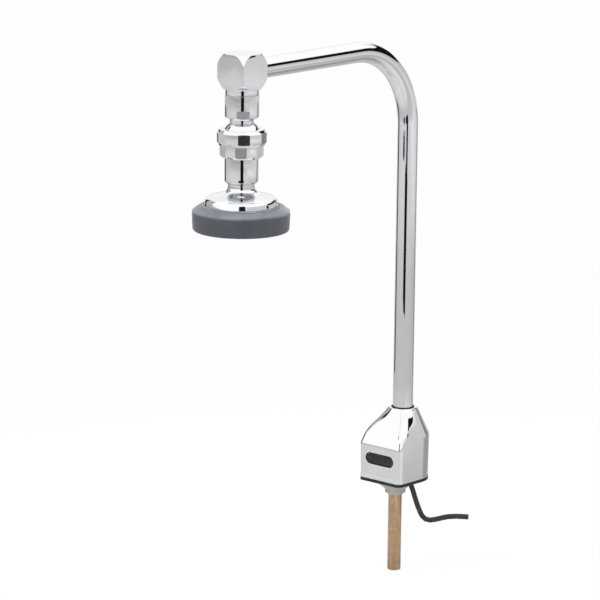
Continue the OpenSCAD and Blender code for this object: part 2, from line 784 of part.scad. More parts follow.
module sensor_lead() color([0.16, 0.16, 0.17]) {
    swept_tube(sensor_route, lead_d / 2, 8);
}

module coil_lead() color([0.55, 0.12, 0.10]) {
    swept_tube(coil_route, lead_d / 2, 8);
}

module cord_grommet() color([0.14, 0.14, 0.15]) {
    translate([cord_x, cord_y, 0]) difference() {
        union() {
            translate([0, 0, inside_z + fit_gap]) cylinder(r = grommet_r + 1, h = 1.4);
            translate([0, 0, plate_z - fit_gap]) cylinder(r = grommet_r, h = plate_t + 4 * fit_gap);
            translate([0, 0, -spigot_h])
                cylinder(r1 = grommet_r - 0.3, r2 = notch_r - 0.3, h = plate_z + spigot_h - fit_gap);
        }
        translate([0, 0, -spigot_h - eps]) cylinder(r = cord_d / 2 + fit_gap, h = inside_z + spigot_h + 4);
        translate([-cord_x, -cord_y, inside_z]) cylinder(d = inlet_boss_d + 6 * fit_gap, h = 4);
        translate([-cord_x, -cord_y, -spigot_h - eps])
            ring(spigot_r - 2 * fit_gap, 2 * spigot_r, plate_z + spigot_h + eps - fit_gap);
    }
}

module power_cord() color([0.18, 0.18, 0.19]) {
    path = [
        for (p = cord_route)
        [cord_x + p[0] * cos(cord_plane), cord_y + p[0] * sin(cord_plane), p[1]]
    ];
    swept_tube(path, cord_d / 2, cord_sides);
}

// Spout group

module spout_foot() color([0.78, 0.66, 0.38]) {
    plug_r = socket_bore / 2 - swivel_gap;
    plug_h = 12;
    translate([0, riser_back, foot_shoulder_z]) difference() {
        union() {
            cylinder(r = neck_bore_r - 0.2, h = shoulder_t);
            translate([0, 0, -plug_h]) cylinder(r = plug_r, h = plug_h + eps);
            cylinder(r = tube_in_r - fit_gap, h = shoulder_t + 9);
        }
        translate([0, 0, -plug_h - eps]) cylinder(d = water_bore - 1, h = plug_h + shoulder_t + 10);
        for (g = foot_grooves) translate([0, 0, -g]) ring(foot_groove_r, plug_r + eps, foot_groove_w);
    }
}

module spout_o_rings() color([0.12, 0.12, 0.13]) {
    wire_r = 0.6;
    for (g = foot_grooves) translate([0, riser_back, foot_shoulder_z - g + foot_groove_w / 2])
        o_ring(foot_groove_r + wire_r + fit_gap, wire_r);
}

module spout_tube() color([0.80, 0.81, 0.83]) {
    foot_z = foot_shoulder_z + shoulder_t;
    bend_z = arm_z - bend_r;
    arm_start_y = riser_back - bend_r;
    arm_end_y = head_y + elbow_side / 2 - arm_socket + fit_gap;
    translate([0, riser_back, foot_z]) ring(tube_in_r, tube_r, bend_z - foot_z);
    translate([0, arm_start_y, bend_z]) rotate([90, 0, 90]) rotate_extrude(angle = 90)
        translate([bend_r, 0]) difference() {
            circle(r = tube_r);
            circle(r = tube_in_r);
        }
    translate([0, arm_start_y, arm_z]) rotate([90, 0, 0]) ring(tube_in_r, tube_r, arm_start_y - arm_end_y);
}

module outlet_elbow() color([0.80, 0.81, 0.83]) {
    thread_depth = stem_thread_h + washer_t + 2 * fit_gap;
    translate([0, head_y, arm_z]) difference() {
        union() {
            intersection() {
                cube(elbow_side, center = true);
                sphere(d = elbow_sphere_d);
            }
            translate([0, 0, -elbow_drop]) cylinder(d = elbow_hub_d, h = elbow_drop - elbow_side / 2 + 3);
        }
        rotate([-90, 0, 0]) cylinder(d = water_bore + 2, h = elbow_side);
        translate([0, elbow_side / 2 - arm_socket, 0]) rotate([-90, 0, 0]) cylinder(r = tube_r + fit_gap, h = elbow_side);
        translate([0, 0, -elbow_side]) cylinder(d = water_bore + 2, h = elbow_side);
        translate([0, 0, -elbow_drop - eps]) cylinder(r = stem_thread_r + fit_gap, h = thread_depth + eps);
    }
}

// Moves its children to the ball centre
module at_ball() {
    translate([0, head_y, ball_z]) children();
}

module stem_washer() color([0.12, 0.12, 0.13]) {
    at_ball() translate([0, 0, collar_top + stem_thread_h + 2 * fit_gap])
        ring(water_bore / 2 + 1, stem_thread_r, washer_t);
}

module ball_stem() color([0.80, 0.81, 0.83]) {
    chamfer = 2.2;
    flats_z = collar_bottom + chamfer;
    at_ball() difference() {
        union() {
            translate([0, 0, collar_top - eps]) cylinder(r = stem_thread_r, h = stem_thread_h + eps);
            translate([0, 0, flats_z]) cylinder(d = collar_d, h = collar_top - flats_z);
            translate([0, 0, collar_bottom]) cylinder(r1 = ball_neck_d / 2 + 2, r2 = collar_d / 2, h = chamfer);
            translate([0, 0, ball_r / 2]) cylinder(d = ball_neck_d, h = collar_bottom - ball_r / 2 + eps);
            difference() {
                sphere(d = ball_d);
                translate([0, 0, ball_bottom - ball_d]) cylinder(r = ball_d, h = ball_d);
            }
        }
        translate([0, 0, ball_bottom - eps])
            cylinder(d = water_bore, h = collar_top + stem_thread_h - ball_bottom + 2 * eps);
        rotate([0, 0, collar_turn]) for (s = [-1, 1])
            translate([-collar_d / 2, s * (collar_flats + collar_d) / 2 - collar_d / 2, collar_bottom - eps])
                cube([collar_d, collar_d, flats_h + chamfer + eps]);
    }
}

module ball_liner() color([0.90, 0.89, 0.85]) {
    at_ball() difference() {
        intersection() {
            sphere(r = liner_out_r);
            translate([0, 0, liner_low]) cylinder(r = ball_d, h = liner_high - liner_low);
        }
        sphere(r = liner_in_r);
    }
}

module ball_seal() color([0.12, 0.12, 0.13]) {
    at_ball() difference() {
        translate([0, 0, seal_bottom]) cylinder(r = seal_r, h = seal_top - seal_bottom);
        sphere(r = ball_r + ball_gap);
        translate([0, 0, seal_bottom - eps]) cylinder(r = 7.6, h = ball_r);
    }
}

// Round nut with six flats: a hexagon turned down to the diameter d
module flatted(turn, flats, d, z0, h) {
    intersection() {
        rotate([0, 0, turn]) translate([0, 0, z0]) cylinder(d = flats / cos(30), h = h, $fn = 6);
        children();
    }
}

module union_nut() color([0.80, 0.81, 0.83]) {
    lip_z = 8.5;
    top_r = union_d / 2 - 2.3;
    bottom_r = union_d / 2 - 1.3;
    at_ball() difference() {
        flatted(union_turn, union_flats, union_d, union_bottom, union_top - union_bottom) {
            rotate_extrude() polygon([
                [0, union_bottom], [bottom_r, union_bottom], [union_d / 2, union_bottom + 4],
                [union_d / 2, union_top - 6], [top_r, union_top], [0, union_top]
            ]);
        }
        sphere(r = ball_r + 1.5 * ball_gap);
        intersection() {
            sphere(r = liner_out_r + ball_gap);
            translate([0, 0, socket_rim]) cylinder(r = ball_d, h = lip_z - socket_rim);
        }
        translate([0, 0, union_bottom - eps])
            cylinder(r = thread_r + fit_gap, h = socket_rim + 0.4 - union_bottom + eps);
    }
}

module socket_nut() color([0.80, 0.81, 0.83]) {
    chamfer = 1.8;
    at_ball() difference() {
        union() {
            translate([0, 0, nut_top - eps]) cylinder(r = thread_r, h = socket_rim - nut_top + eps);
            flatted(nut_turn, nut_flats, nut_d, nut_bottom, nut_h) {
                rotate_extrude() polygon([
                    [0, nut_bottom], [nut_d / 2 - chamfer, nut_bottom], [nut_d / 2, nut_bottom + chamfer],
                    [nut_d / 2, nut_top - 0.4], [nut_d / 2 - 0.4, nut_top], [0, nut_top]
                ]);
            }
            translate([0, 0, spigot_thread_end]) cylinder(r = spigot_thread_r, h = nut_bottom - spigot_thread_end + eps);
        }
        sphere(r = ball_r + 2 * ball_gap);
        translate([0, 0, seal_bottom - fit_gap]) cylinder(r = seal_r + fit_gap, h = -seal_bottom);
        translate([0, 0, spigot_thread_end - eps]) cylinder(d = water_bore, h = ball_d);
    }
}

module sleeve_washer() color([0.12, 0.12, 0.13]) {
    at_ball() translate([0, 0, washer_bottom]) ring(water_bore / 2 + 0.5, spigot_thread_r, washer_t);
}

module flow_restrictor() color([0.35, 0.55, 0.40]) {
    holes = 6;
    at_ball() translate([0, 0, restrictor_bottom]) difference() {
        cylinder(r = water_bore / 2 + 4.4, h = restrictor_t);
        for (i = [0 : holes - 1]) rotate([0, 0, i * 360 / holes])
            translate([water_bore / 4, 0, -eps]) cylinder(r = 0.8, h = restrictor_t + 2 * eps);
    }
}

module head_sleeve() color([0.80, 0.81, 0.83]) {
    chamfer = 1.7;
    ledge = 1;
    at_ball() difference() {
        rotate_extrude() polygon([
            [0, sleeve_bottom], [sleeve_d / 2 - chamfer, sleeve_bottom], [sleeve_d / 2, sleeve_bottom + chamfer],
            [sleeve_d / 2, sleeve_top - 0.5], [sleeve_d / 2 - 0.5, sleeve_top], [0, sleeve_top]
        ]);
        translate([0, 0, washer_bottom - fit_gap]) cylinder(r = spigot_thread_r + fit_gap, h = sleeve_h);
        translate([0, 0, restrictor_bottom - fit_gap]) cylinder(r = water_bore / 2 + 4.5, h = sleeve_h);
        translate([0, 0, sleeve_bottom - eps]) cylinder(r = 8.5, h = sleeve_h);
        translate([0, 0, sleeve_bottom - eps])
            cylinder(r = bell_thread_r + fit_gap, h = restrictor_bottom - ledge - sleeve_bottom + eps);
    }
}

// Spray head

// Half outline of the bell from its neck to its rim, drawn in by the wall
function bell_side(inset) =
    let (
        neck_z = bell_top - bell_neck_h,
        neck_r = bell_neck_d / 2 - inset,
        shoulder_r = bell_shoulder_d / 2 - inset,
        shoulder_z = neck_z - 0.64 * bell_h - inset,
        rim_r = bell_rim_r - inset
    )
    concat(
        curve([neck_r, neck_z - inset], [neck_r + 0.8, neck_z - 5.6 - inset],
            [neck_r + 8, neck_z - 5.2 - inset], [shoulder_r - 1.4, shoulder_z + 0.8], 14),
        [[shoulder_r, shoulder_z - 0.6]],
        curve([shoulder_r + 0.2, shoulder_z - 2.2], [shoulder_r + 0.6, shoulder_z - 3.6],
            [rim_r - 1.4, bell_rim_z + 0.6], [rim_r, bell_rim_z - 0.4], 6)
    );

module spray_bell() color([0.80, 0.81, 0.83]) {
    neck_z = bell_top - bell_neck_h;
    outside = bell_side(0);
    inside = bell_side(bell_wall);
    grooves = [1.1, 2.3];
    groove_depth = 0.5;
    groove_w = 0.4;
    bore = 6;
    spigot_top = restrictor_bottom - 1.5;
    rib = [bell_rim_r - bell_wall / 2, 2, 5];
    rib_z = bell_rim_z - 8;
    at_ball() {
        difference() {
            union() {
                rotate_extrude() polygon(concat([[0, bell_top], [bell_neck_d / 2, bell_top]], outside,
                    [[bell_rim_r, skirt_bottom], [0, skirt_bottom]]));
                translate([0, 0, bell_top - eps]) cylinder(r = bell_thread_r, h = spigot_top - bell_top + eps);
            }
            rotate_extrude() polygon(concat([[0, neck_z - bell_wall]], inside,
                [[bell_rim_r - bell_wall, skirt_bottom - eps], [0, skirt_bottom - eps]]));
            translate([0, 0, neck_z - bell_wall - eps]) cylinder(r = bore, h = spigot_top - neck_z + bell_wall + 2 * eps);
            for (g = grooves) translate([0, 0, bell_top - g]) 
                ring(bell_neck_d / 2 - groove_depth, bell_neck_d, groove_w);
        }
        difference() {
            union() {
                translate([0, 0, skirt_bottom]) cylinder(r = post_r, h = bell_rim_z - skirt_bottom);
                for (a = [0, 120, 240]) rotate([0, 0, a]) translate([0, -rib[1] / 2, rib_z]) cube(rib);
            }
            translate([0, 0, skirt_bottom - eps]) cylinder(r = face_screw_r + fit_gap, h = face_screw_l + 2);
        }
    }
}

module rubber_bumper() color([0.38, 0.39, 0.42]) {
    lip_r = bell_rim_r - 2.3;
    foot_r = bumper_r - bumper_draft;
    top_fillet = bumper_fillet / 2;
    at_ball() rotate_extrude() polygon(concat(
        [[bell_rim_r + fit_gap, bell_rim_z - 0.2], [bell_rim_r + 2.8, bell_rim_z - 2]],
        arc([bumper_r - top_fillet, bumper_top - top_fillet], top_fillet, 90, 0, 5),
        arc([foot_r - bumper_fillet, bumper_bottom + bumper_fillet], bumper_fillet, 0, -90, 6),
        [
            [lip_r, bumper_bottom], [lip_r, plate_bottom - fit_gap],
            [bell_rim_r + fit_gap, plate_bottom - fit_gap]
        ]
    ));
}

module spray_plate() color([0.72, 0.73, 0.75]) {
    ring_step = 7;
    first_ring = 9;
    first_count = 8;
    more_holes = 6;
    at_ball() translate([0, 0, plate_bottom]) difference() {
        cylinder(r = bell_rim_r - fit_gap, h = plate_face_t);
        translate([0, 0, -eps]) cylinder(r = face_screw_r + 2 * fit_gap, h = plate_face_t + 2 * eps);
        for (k = [0 : spray_rings - 1]) for (i = [0 : first_count + more_holes * k - 1])
            rotate([0, 0, i * 360 / (first_count + more_holes * k)])
                translate([min(first_ring + k * ring_step, bell_rim_r - 4), 0, -eps])
                    cylinder(d = spray_hole_d, h = plate_face_t + 2 * eps);
    }
}

module plate_screw() color([0.78, 0.79, 0.80]) {
    head_t = 1.5;
    head_r = 3.4;
    at_ball() translate([0, 0, plate_bottom]) {
        difference() {
            translate([0, 0, -head_t]) cylinder(r1 = head_r - 0.6, r2 = head_r, h = head_t);
            translate([-head_r, -0.4, -head_t - eps]) cube([2 * head_r, 0.8, 0.6 + eps]);
        }
        cylinder(r = face_screw_r, h = plate_face_t + face_screw_l);
    }
}

faucet_body();
base_gasket();
base_plate();
base_screws();
mounting_hub();
supply_tube();
supply_ferrule();
inlet_o_ring();
waterway_block();
neck_bushing();
neck_seal_ring();
retaining_ring();
valve_guide_tube();
solenoid_coil();
solenoid_yoke();
coil_clip();
valve_plunger();
valve_seat_disc();
plunger_spring();
sensor_lens();
lens_rim();
sensor_housing();
sensor_board();
infrared_emitter();
infrared_receiver();
sensor_lead();
coil_lead();
cord_grommet();
power_cord();
spout_foot();
spout_o_rings();
spout_tube();
outlet_elbow();
stem_washer();
ball_stem();
ball_liner();
ball_seal();
union_nut();
socket_nut();
sleeve_washer();
flow_restrictor();
head_sleeve();
spray_bell();
rubber_bumper();
spray_plate();
plate_screw();
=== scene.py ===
# %% [markdown]
# The driving sizes of the object are written once, in millimetres, and everything below is worked out from
# them.

# %% Load the CAD model
import json
import math
import bmesh
import bpy
from mathutils import Matrix, Vector


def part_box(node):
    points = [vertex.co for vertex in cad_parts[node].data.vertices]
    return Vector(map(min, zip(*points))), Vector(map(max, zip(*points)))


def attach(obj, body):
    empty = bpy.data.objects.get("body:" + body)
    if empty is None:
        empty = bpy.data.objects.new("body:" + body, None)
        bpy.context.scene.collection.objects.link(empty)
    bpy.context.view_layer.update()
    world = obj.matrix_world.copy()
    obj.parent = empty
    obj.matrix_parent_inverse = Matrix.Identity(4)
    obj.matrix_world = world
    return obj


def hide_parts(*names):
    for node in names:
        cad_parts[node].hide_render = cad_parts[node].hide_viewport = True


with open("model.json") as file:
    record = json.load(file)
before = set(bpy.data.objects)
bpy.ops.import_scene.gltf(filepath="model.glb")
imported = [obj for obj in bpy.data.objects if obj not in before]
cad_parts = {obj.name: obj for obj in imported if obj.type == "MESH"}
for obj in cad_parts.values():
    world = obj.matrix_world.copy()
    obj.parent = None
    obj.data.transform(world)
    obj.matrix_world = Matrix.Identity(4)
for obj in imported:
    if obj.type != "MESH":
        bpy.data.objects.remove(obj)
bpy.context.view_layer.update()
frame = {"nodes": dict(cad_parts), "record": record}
MM = 0.001
print("loaded", len(frame["nodes"]), "nodes")

# %% Driving sizes, in millimetres
BODY_W = 50.8
BODY_FRONT = 33.5
CORNER_R = 4.5
FRONT_TOP = 36.5
SIDE_TOP = 44
SHOULDER_RUN = 15
BODY_DRAFT = 0.7
LIP_OUT = 0.4
LIP_H = 3
BODY_WALL = 2.6
GASKET_T = 3
BODY_TOP = 69.5
NECK_D = 27
RISER_BACK = 9
FRONT_Y = RISER_BACK - BODY_FRONT
WINDOW = (34, 10.6)
WINDOW_Z = 23
RIM_W = 0.8
TUBE_R = 19.05 / 2
BEND_R = 76.2
ARM_Z = 415
HEAD_Y = RISER_BACK - 228.6
BALL_Z = ARM_Z - 60
CAMERA_TURN = 43.5
print("head axis at y", HEAD_Y, "and ball centre at z", BALL_Z)

# %% [markdown]
# The camera
# The photograph was taken from well back with a long lens, so upright lines stay nearly parallel.
# The camera stands to the right of the front and a little above the middle of the faucet. Its place is
# worked out from an azimuth, an elevation and a distance, which are easier to correct than coordinates.

# %% Camera
CAM_AZIMUTH = math.radians(41.6)
CAM_ELEVATION = math.radians(12.35)
CAM_DISTANCE = 3.70
CAM_ROLL = math.radians(0.7)
CAM_LENS = 236.8
LOOK_AT = Vector((-0.0691, -0.0613, 0.1724))

away = Vector((math.sin(CAM_AZIMUTH) * math.cos(CAM_ELEVATION),
               -math.cos(CAM_AZIMUTH) * math.cos(CAM_ELEVATION),
               math.sin(CAM_ELEVATION)))
camera_data = bpy.data.cameras.new("camera")
camera_data.lens = CAM_LENS
camera_data.sensor_width = 36
camera_data.clip_end = 60
camera = bpy.data.objects.new("camera", camera_data)
bpy.context.scene.collection.objects.link(camera)
facing = (-away).to_track_quat("-Z", "Y").to_matrix().to_4x4()
place_in_room = Matrix.Translation(LOOK_AT + away * CAM_DISTANCE)
camera.matrix_world = place_in_room @ facing @ Matrix.Rotation(CAM_ROLL, 4, "Z")
bpy.context.scene.camera = camera
print("camera at", [round(v, 3) for v in camera.location])

# %% [markdown]
# The cord
# A thin black cable leaves through a notch in the hub, drops, and then sweeps out to the side and ends in
# a bare cut end. A curve of one spline with a round bevel is the plainest way to make it, and it follows
# the same points as the CAD solid. It is then made a mesh, so that its box is that of the jacket.

# %% Cord
CORD_D = 5 * MM
CORD_EXIT = Vector((13, 7, 0)) * MM
CORD_PLANE = math.radians(43.5)
CORD_ROUTE = [
    (0, 10), (0, 4), (0, -2), (0.6, -5.4), (2, -9), (3.4, -13.6), (5.2, -19.4), (7.2, -25.2), (9.2, -30.4),
    (11.6, -35), (14.8, -38), (19, -39), (24.8, -38.2), (30.4, -36.8), (36, -35.6), (42.6, -35.2),
    (49.4, -35.4), (55.4, -35.8),
]
cord_points = [Vector((CORD_EXIT.x + u * MM * math.cos(CORD_PLANE),
                       CORD_EXIT.y + u * MM * math.sin(CORD_PLANE), z * MM)) for u, z in CORD_ROUTE]
cord_curve = bpy.data.curves.new("power_cable", "CURVE")
cord_curve.dimensions = "3D"
cord_curve.bevel_depth = CORD_D / 2
cord_curve.bevel_resolution = 4
cord_curve.use_fill_caps = True
spline = cord_curve.splines.new("POLY")
spline.points.add(len(cord_points) - 1)
for point, place in zip(spline.points, cord_points):
    point.co = (*place, 1)
power_cable = bpy.data.objects.new("power_cable", cord_curve)
bpy.context.scene.collection.objects.link(power_cable)
bpy.ops.object.select_all(action="DESELECT")
power_cable.select_set(True)
bpy.context.view_layer.objects.active = power_cable
bpy.ops.object.convert(target="MESH")
bpy.ops.object.shade_smooth_by_angle(angle=math.radians(50))
power_cable = bpy.context.object
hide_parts("power_cord")
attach(power_cable, "base")

# %% [markdown]
# Helpers for modelling
# Most pieces of a faucet are turned on a lathe from bar. A turned piece is made here in the same way as
# by hand: a ring is added, and extruded and resized from one point of the outline to the next. Real
# edges are never sharp, so a helper rounds the corners of the outline first.


# %% Rounded outlines
# Replaces each corner of an open outline with an arc; radius is one number, or one per inner corner
def rounded(outline, radius, steps=3):
    result = [outline[0]]
    for i in range(1, len(outline) - 1):
        before, corner, after = (Vector(outline[k]) for k in (i - 1, i, i + 1))
        r = radius[i - 1] if isinstance(radius, (list, tuple)) else radius
        into, out = (before - corner), (after - corner)
        turn = math.pi - into.angle(out)
        if r == 0 or turn < math.radians(4):
            result.append(tuple(corner))
            continue
        reach = min(r * math.tan(turn / 2), 0.45 * into.length, 0.45 * out.length)
        start, end = corner + into.normalized() * reach, corner + out.normalized() * reach
        for k in range(steps + 1):
            t = k / steps
            result.append(tuple((1 - t) ** 2 * start + 2 * t * (1 - t) * corner + t * t * end))
    result.append(outline[-1])
    return result


# %% Turned pieces
def deselect():
    if bpy.context.object and bpy.context.object.mode != "OBJECT":
        bpy.ops.object.mode_set(mode="OBJECT")
    bpy.ops.object.select_all(action="DESELECT")


# Turns a closed outline of radius and height, in millimetres, about the head's axis
def turned(name, outline, base=BALL_Z, sides=96):
    deselect()
    places = [(r * MM, (base + z) * MM) for r, z in outline]
    centre = (0, HEAD_Y * MM)
    bpy.ops.mesh.primitive_circle_add(vertices=sides, radius=places[0][0], location=(*centre, places[0][1]))
    piece = bpy.context.object
    piece.name = name
    bpy.ops.object.mode_set(mode="EDIT")
    bpy.ops.mesh.select_all(action="SELECT")
    last_r, last_z = places[0]
    for r, z in places[1:] + places[:1]:
        bpy.ops.mesh.extrude_edges_move(TRANSFORM_OT_translate={"value": (0, 0, z - last_z)})
        bpy.ops.transform.resize(value=(r / last_r, r / last_r, 1), center_override=(*centre, z))
        last_r, last_z = r, z
    bpy.ops.mesh.select_all(action="SELECT")
    bpy.ops.mesh.remove_doubles(threshold=1e-6)
    bpy.ops.mesh.normals_make_consistent(inside=False)
    bpy.ops.object.mode_set(mode="OBJECT")
    return piece


# %% Modifiers and hand-over
def apply_boolean(piece, tool, operation):
    deselect()
    bpy.context.view_layer.objects.active = piece
    piece.select_set(True)
    modifier = piece.modifiers.new(operation.lower(), "BOOLEAN")
    modifier.operation = operation
    modifier.object = tool
    modifier.solver = "EXACT"
    bpy.ops.object.modifier_apply(modifier=modifier.name)
    bpy.data.objects.remove(tool, do_unlink=True)


def apply_bevel(piece, width, segments, angle):
    deselect()
    bpy.context.view_layer.objects.active = piece
    piece.select_set(True)
    modifier = piece.modifiers.new("bevel", "BEVEL")
    modifier.width = width * MM
    modifier.segments = segments
    modifier.limit_method = "ANGLE"
    modifier.angle_limit = math.radians(angle)
    modifier.use_clamp_overlap = True
    bpy.ops.object.modifier_apply(modifier=modifier.name)


MILLED_SLACK = 2e-5


# Marks the flat faces that lie at one distance from the head's axis with the roughness of milling
def mark_milled(piece, distance, roughness):
    values = []
    for face in piece.data.polygons:
        centre = piece.matrix_world @ face.center
        out = Vector((centre.x, centre.y - HEAD_Y * MM, 0))
        upright = abs(face.normal.z) < 0.01 and out.dot(face.normal) > 0
        flat = upright and abs(out.dot(face.normal) - distance * MM) < MILLED_SLACK
        values.append(roughness if flat else 0.0)
    piece.data.attributes.new("milled", "FLOAT", "FACE").data.foreach_set("value", values)
    print(piece.name, sum(v > 0 for v in values), "milled faces")


# Places the finished piece at the origin, smooths it, gives it its body and slot, and hides the CAD node that
# it stands in for
def hand_over(piece, node_name, smooth_angle=30):
    deselect()
    bpy.context.view_layer.objects.active = piece
    piece.select_set(True)
    bpy.ops.object.transform_apply(location=True, rotation=True, scale=True)
    bpy.ops.object.shade_smooth_by_angle(angle=math.radians(smooth_angle))
    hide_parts(node_name)
    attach(piece, body_of[node_name])
    dressed.append((piece, slot_of[node_name]))
    size = [round(v / MM, 1) for v in piece.dimensions]
    print(piece.name, len(piece.data.polygons), "faces,", size, "mm")


subparts = frame["record"]["subparts"]
slot_of = {entry["node"]: entry["material_slot"] for entry in subparts}
bodies = frame["record"]["behaviour"]["bodies"]
body_of = {name: carrier for carrier, names in bodies.items() for name in names}
dressed = [(power_cable, "cable_black")]

# %% [markdown]
# The base body
# The real body is one zinc casting, polished and chromed. Its plan has a flat front, two tight front
# corners and a round back, and above the walls it is drawn in to the round neck. It could be cut from
# a block, but a casting is a skin: a ring of points is drawn up level by level, each point keeping its
# own direction from the riser axis. One profile per direction gives the lip, the wall, the shoulder,
# the neck and then the inside, so that the body is a real shell. The front wall ends lower than the sides.

# %% Base body: plan and profile
HALF_W = BODY_W / 2
NECK_BORE_R = 10.4
SEAL_SEAT_R = 10.9
SEAL_SEAT_Z = 66.7
CAVITY_ROOF = (12, 57.7)


# Distance from the riser axis to the plan in the direction turn
def plan_reach(turn):
    dx, dy = math.cos(turn), math.sin(turn)
    if dy >= 0:
        return HALF_W
    reach = min(HALF_W / max(abs(dx), 1e-9), BODY_FRONT / -dy)
    corner = Vector((HALF_W - CORNER_R, CORNER_R - BODY_FRONT))
    if abs(dx) * reach > corner.x and dy * reach < corner.y:
        along = abs(dx) * corner.x + dy * corner.y
        reach = along + math.sqrt(along * along - corner.length_squared + CORNER_R * CORNER_R)
    return reach


# Height at which the wall turns into the shoulder
def border_height(y):
    climb = min(1, max(0, (y - FRONT_Y) / SHOULDER_RUN))
    return FRONT_TOP + (SIDE_TOP - FRONT_TOP) * climb * climb * (3 - 2 * climb)


# The two front ridges swell outwards, most at a third of the shoulder's height; the peak is about the
# greatest value of the curve along the climb, so that the swell is in millimetres
RIDGE_SWELL = 3.2
SWELL_PEAK = 0.0263
RIDGE_TURN = math.atan2(HALF_W, BODY_FRONT)
RIDGE_SPREAD = math.radians(24)


def ridge_swell(turn, climb):
    from_front = abs((turn + 1.5 * math.pi) % math.tau - math.pi)
    over_ridge = math.exp(-((from_front - RIDGE_TURN) / RIDGE_SPREAD) ** 2)
    return RIDGE_SWELL * over_ridge * climb ** 2 * (1 - climb) ** 3.6 / SWELL_PEAK


SLOPE_STEPS = (0.26, 0.34, 0.42, 0.5, 0.6, 0.72, 0.84)


def body_profile(turn):
    wall = plan_reach(turn)
    border = border_height(RISER_BACK + wall * math.sin(turn))
    lip = wall - BODY_DRAFT + LIP_OUT
    neck = NECK_D / 2
    rise = BODY_TOP - border
    slope = [(wall + (neck - wall) * climb, border + rise * climb) for climb in SLOPE_STEPS]
    outline = [
        (lip, GASKET_T + 1), (lip, GASKET_T + LIP_H), (wall - BODY_DRAFT, GASKET_T + LIP_H), (wall, border),
        *slope, (neck, BODY_TOP), (SEAL_SEAT_R, BODY_TOP), (SEAL_SEAT_R, SEAL_SEAT_Z),
        (NECK_BORE_R, SEAL_SEAT_Z), (NECK_BORE_R, CAVITY_ROOF[1]), CAVITY_ROOF,
        (wall - BODY_WALL, border - BODY_WALL),
        (wall - BODY_WALL, GASKET_T), (lip, GASKET_T), (lip, GASKET_T + 1),
    ]
    radii = [0.3, 0.3, 6] + [0] * len(slope) + [1.6, 0.2, 0, 0, 0.2, 0.5, 4, 0.2, 0.3]
    points = rounded(outline, radii, steps=5)
    crest = max(range(len(points)), key=lambda k: points[k][1])
    skin = [(r + ridge_swell(turn, min(1, max(0, (z - border) / rise))), z) for r, z in points[:crest]]
    return skin + points[crest:]


# %% Base body: drawing up the levels
BODY_COLUMNS = 360
deselect()
bpy.ops.mesh.primitive_circle_add(vertices=BODY_COLUMNS, radius=HALF_W * MM,
                                  location=(0, RISER_BACK * MM, GASKET_T * MM))
cast_body = bpy.context.object
cast_body.name = "cast_body"
bpy.ops.object.transform_apply(location=True)
profiles = {}
levels = len(body_profile(0))


def move_ring(mesh, level):
    for vertex in mesh.verts:
        if not vertex.select:
            continue
        turn = math.atan2(vertex.co.y - RISER_BACK * MM, vertex.co.x)
        key = round(turn * BODY_COLUMNS / math.tau) % BODY_COLUMNS
        if key not in profiles:
            profiles[key] = body_profile(turn)
        reach, height = profiles[key][level]
        vertex.co = (reach * math.cos(turn) * MM, (RISER_BACK + reach * math.sin(turn)) * MM, height * MM)


bpy.ops.object.mode_set(mode="EDIT")
bpy.ops.mesh.select_all(action="SELECT")
move_ring(bmesh.from_edit_mesh(cast_body.data), 0)
for level in range(1, levels):
    bpy.ops.mesh.extrude_edges_move()
    move_ring(bmesh.from_edit_mesh(cast_body.data), level)
    bmesh.update_edit_mesh(cast_body.data)
bpy.ops.mesh.select_all(action="SELECT")
bpy.ops.mesh.remove_doubles(threshold=1e-7)
bpy.ops.mesh.normals_make_consistent(inside=False)
bpy.ops.object.mode_set(mode="OBJECT")
print("body levels", levels, "faces", len(cast_body.data.polygons))


# %% Slots and boxes
# A round-ended slot, lying in the front wall, whose first rings may be wider: rings are growth and y
def slot_block(name, size, rings):
    length, height = size
    deselect()
    bpy.ops.mesh.primitive_circle_add(vertices=64, radius=height / 2 * MM, fill_type="NGON",
                                      location=(0, rings[0][1] * MM, WINDOW_Z * MM),
                                      rotation=(math.pi / 2, 0, 0))
    block = bpy.context.object
    block.name = name
    bpy.ops.object.transform_apply(location=True, rotation=True)
    bpy.ops.object.mode_set(mode="EDIT")
    for side in (-1, 1):
        mesh = bmesh.from_edit_mesh(block.data)
        for vertex in mesh.verts:
            vertex.select = side * vertex.co.x > 1e-7
        mesh.select_flush_mode()
        bpy.ops.transform.translate(value=(side * (length - height) / 2 * MM, 0, 0))
    bpy.ops.mesh.select_all(action="SELECT")
    last = 0
    centre = (0, 0, WINDOW_Z * MM)
    for ring, (growth, y) in enumerate(rings):
        if ring:
            step_back = (0, (y - rings[ring - 1][1]) * MM, 0)
            bpy.ops.mesh.extrude_region_move(TRANSFORM_OT_translate={"value": step_back})
        grow_x = (length + 2 * growth) / (length + 2 * last)
        grow_z = (height + 2 * growth) / (height + 2 * last)
        bpy.ops.transform.resize(value=(grow_x, 1, grow_z), center_override=centre)
        last = growth
    bpy.ops.mesh.select_all(action="SELECT")
    bpy.ops.mesh.normals_make_consistent(inside=False)
    bpy.ops.object.mode_set(mode="OBJECT")
    return block


def box(name, size, place, turn=0):
    deselect()
    bpy.ops.mesh.primitive_cube_add(size=1, location=[v * MM for v in place], scale=[v * MM for v in size],
                                    rotation=(0, 0, math.radians(turn)))
    made = bpy.context.object
    made.name = name
    return made


# %% Base body: window
eye_y = FRONT_Y + BODY_DRAFT * (1 - (WINDOW_Z - GASKET_T) / (FRONT_TOP - GASKET_T))
cutter = slot_block("window_cutter", WINDOW, [
    (1.2, FRONT_Y - 0.6), (0.25, eye_y + 0.1), (0, eye_y + 0.45), (0, FRONT_Y + 4),
])
apply_boolean(cast_body, cutter, "DIFFERENCE")
hand_over(cast_body, "faucet_body", 25)

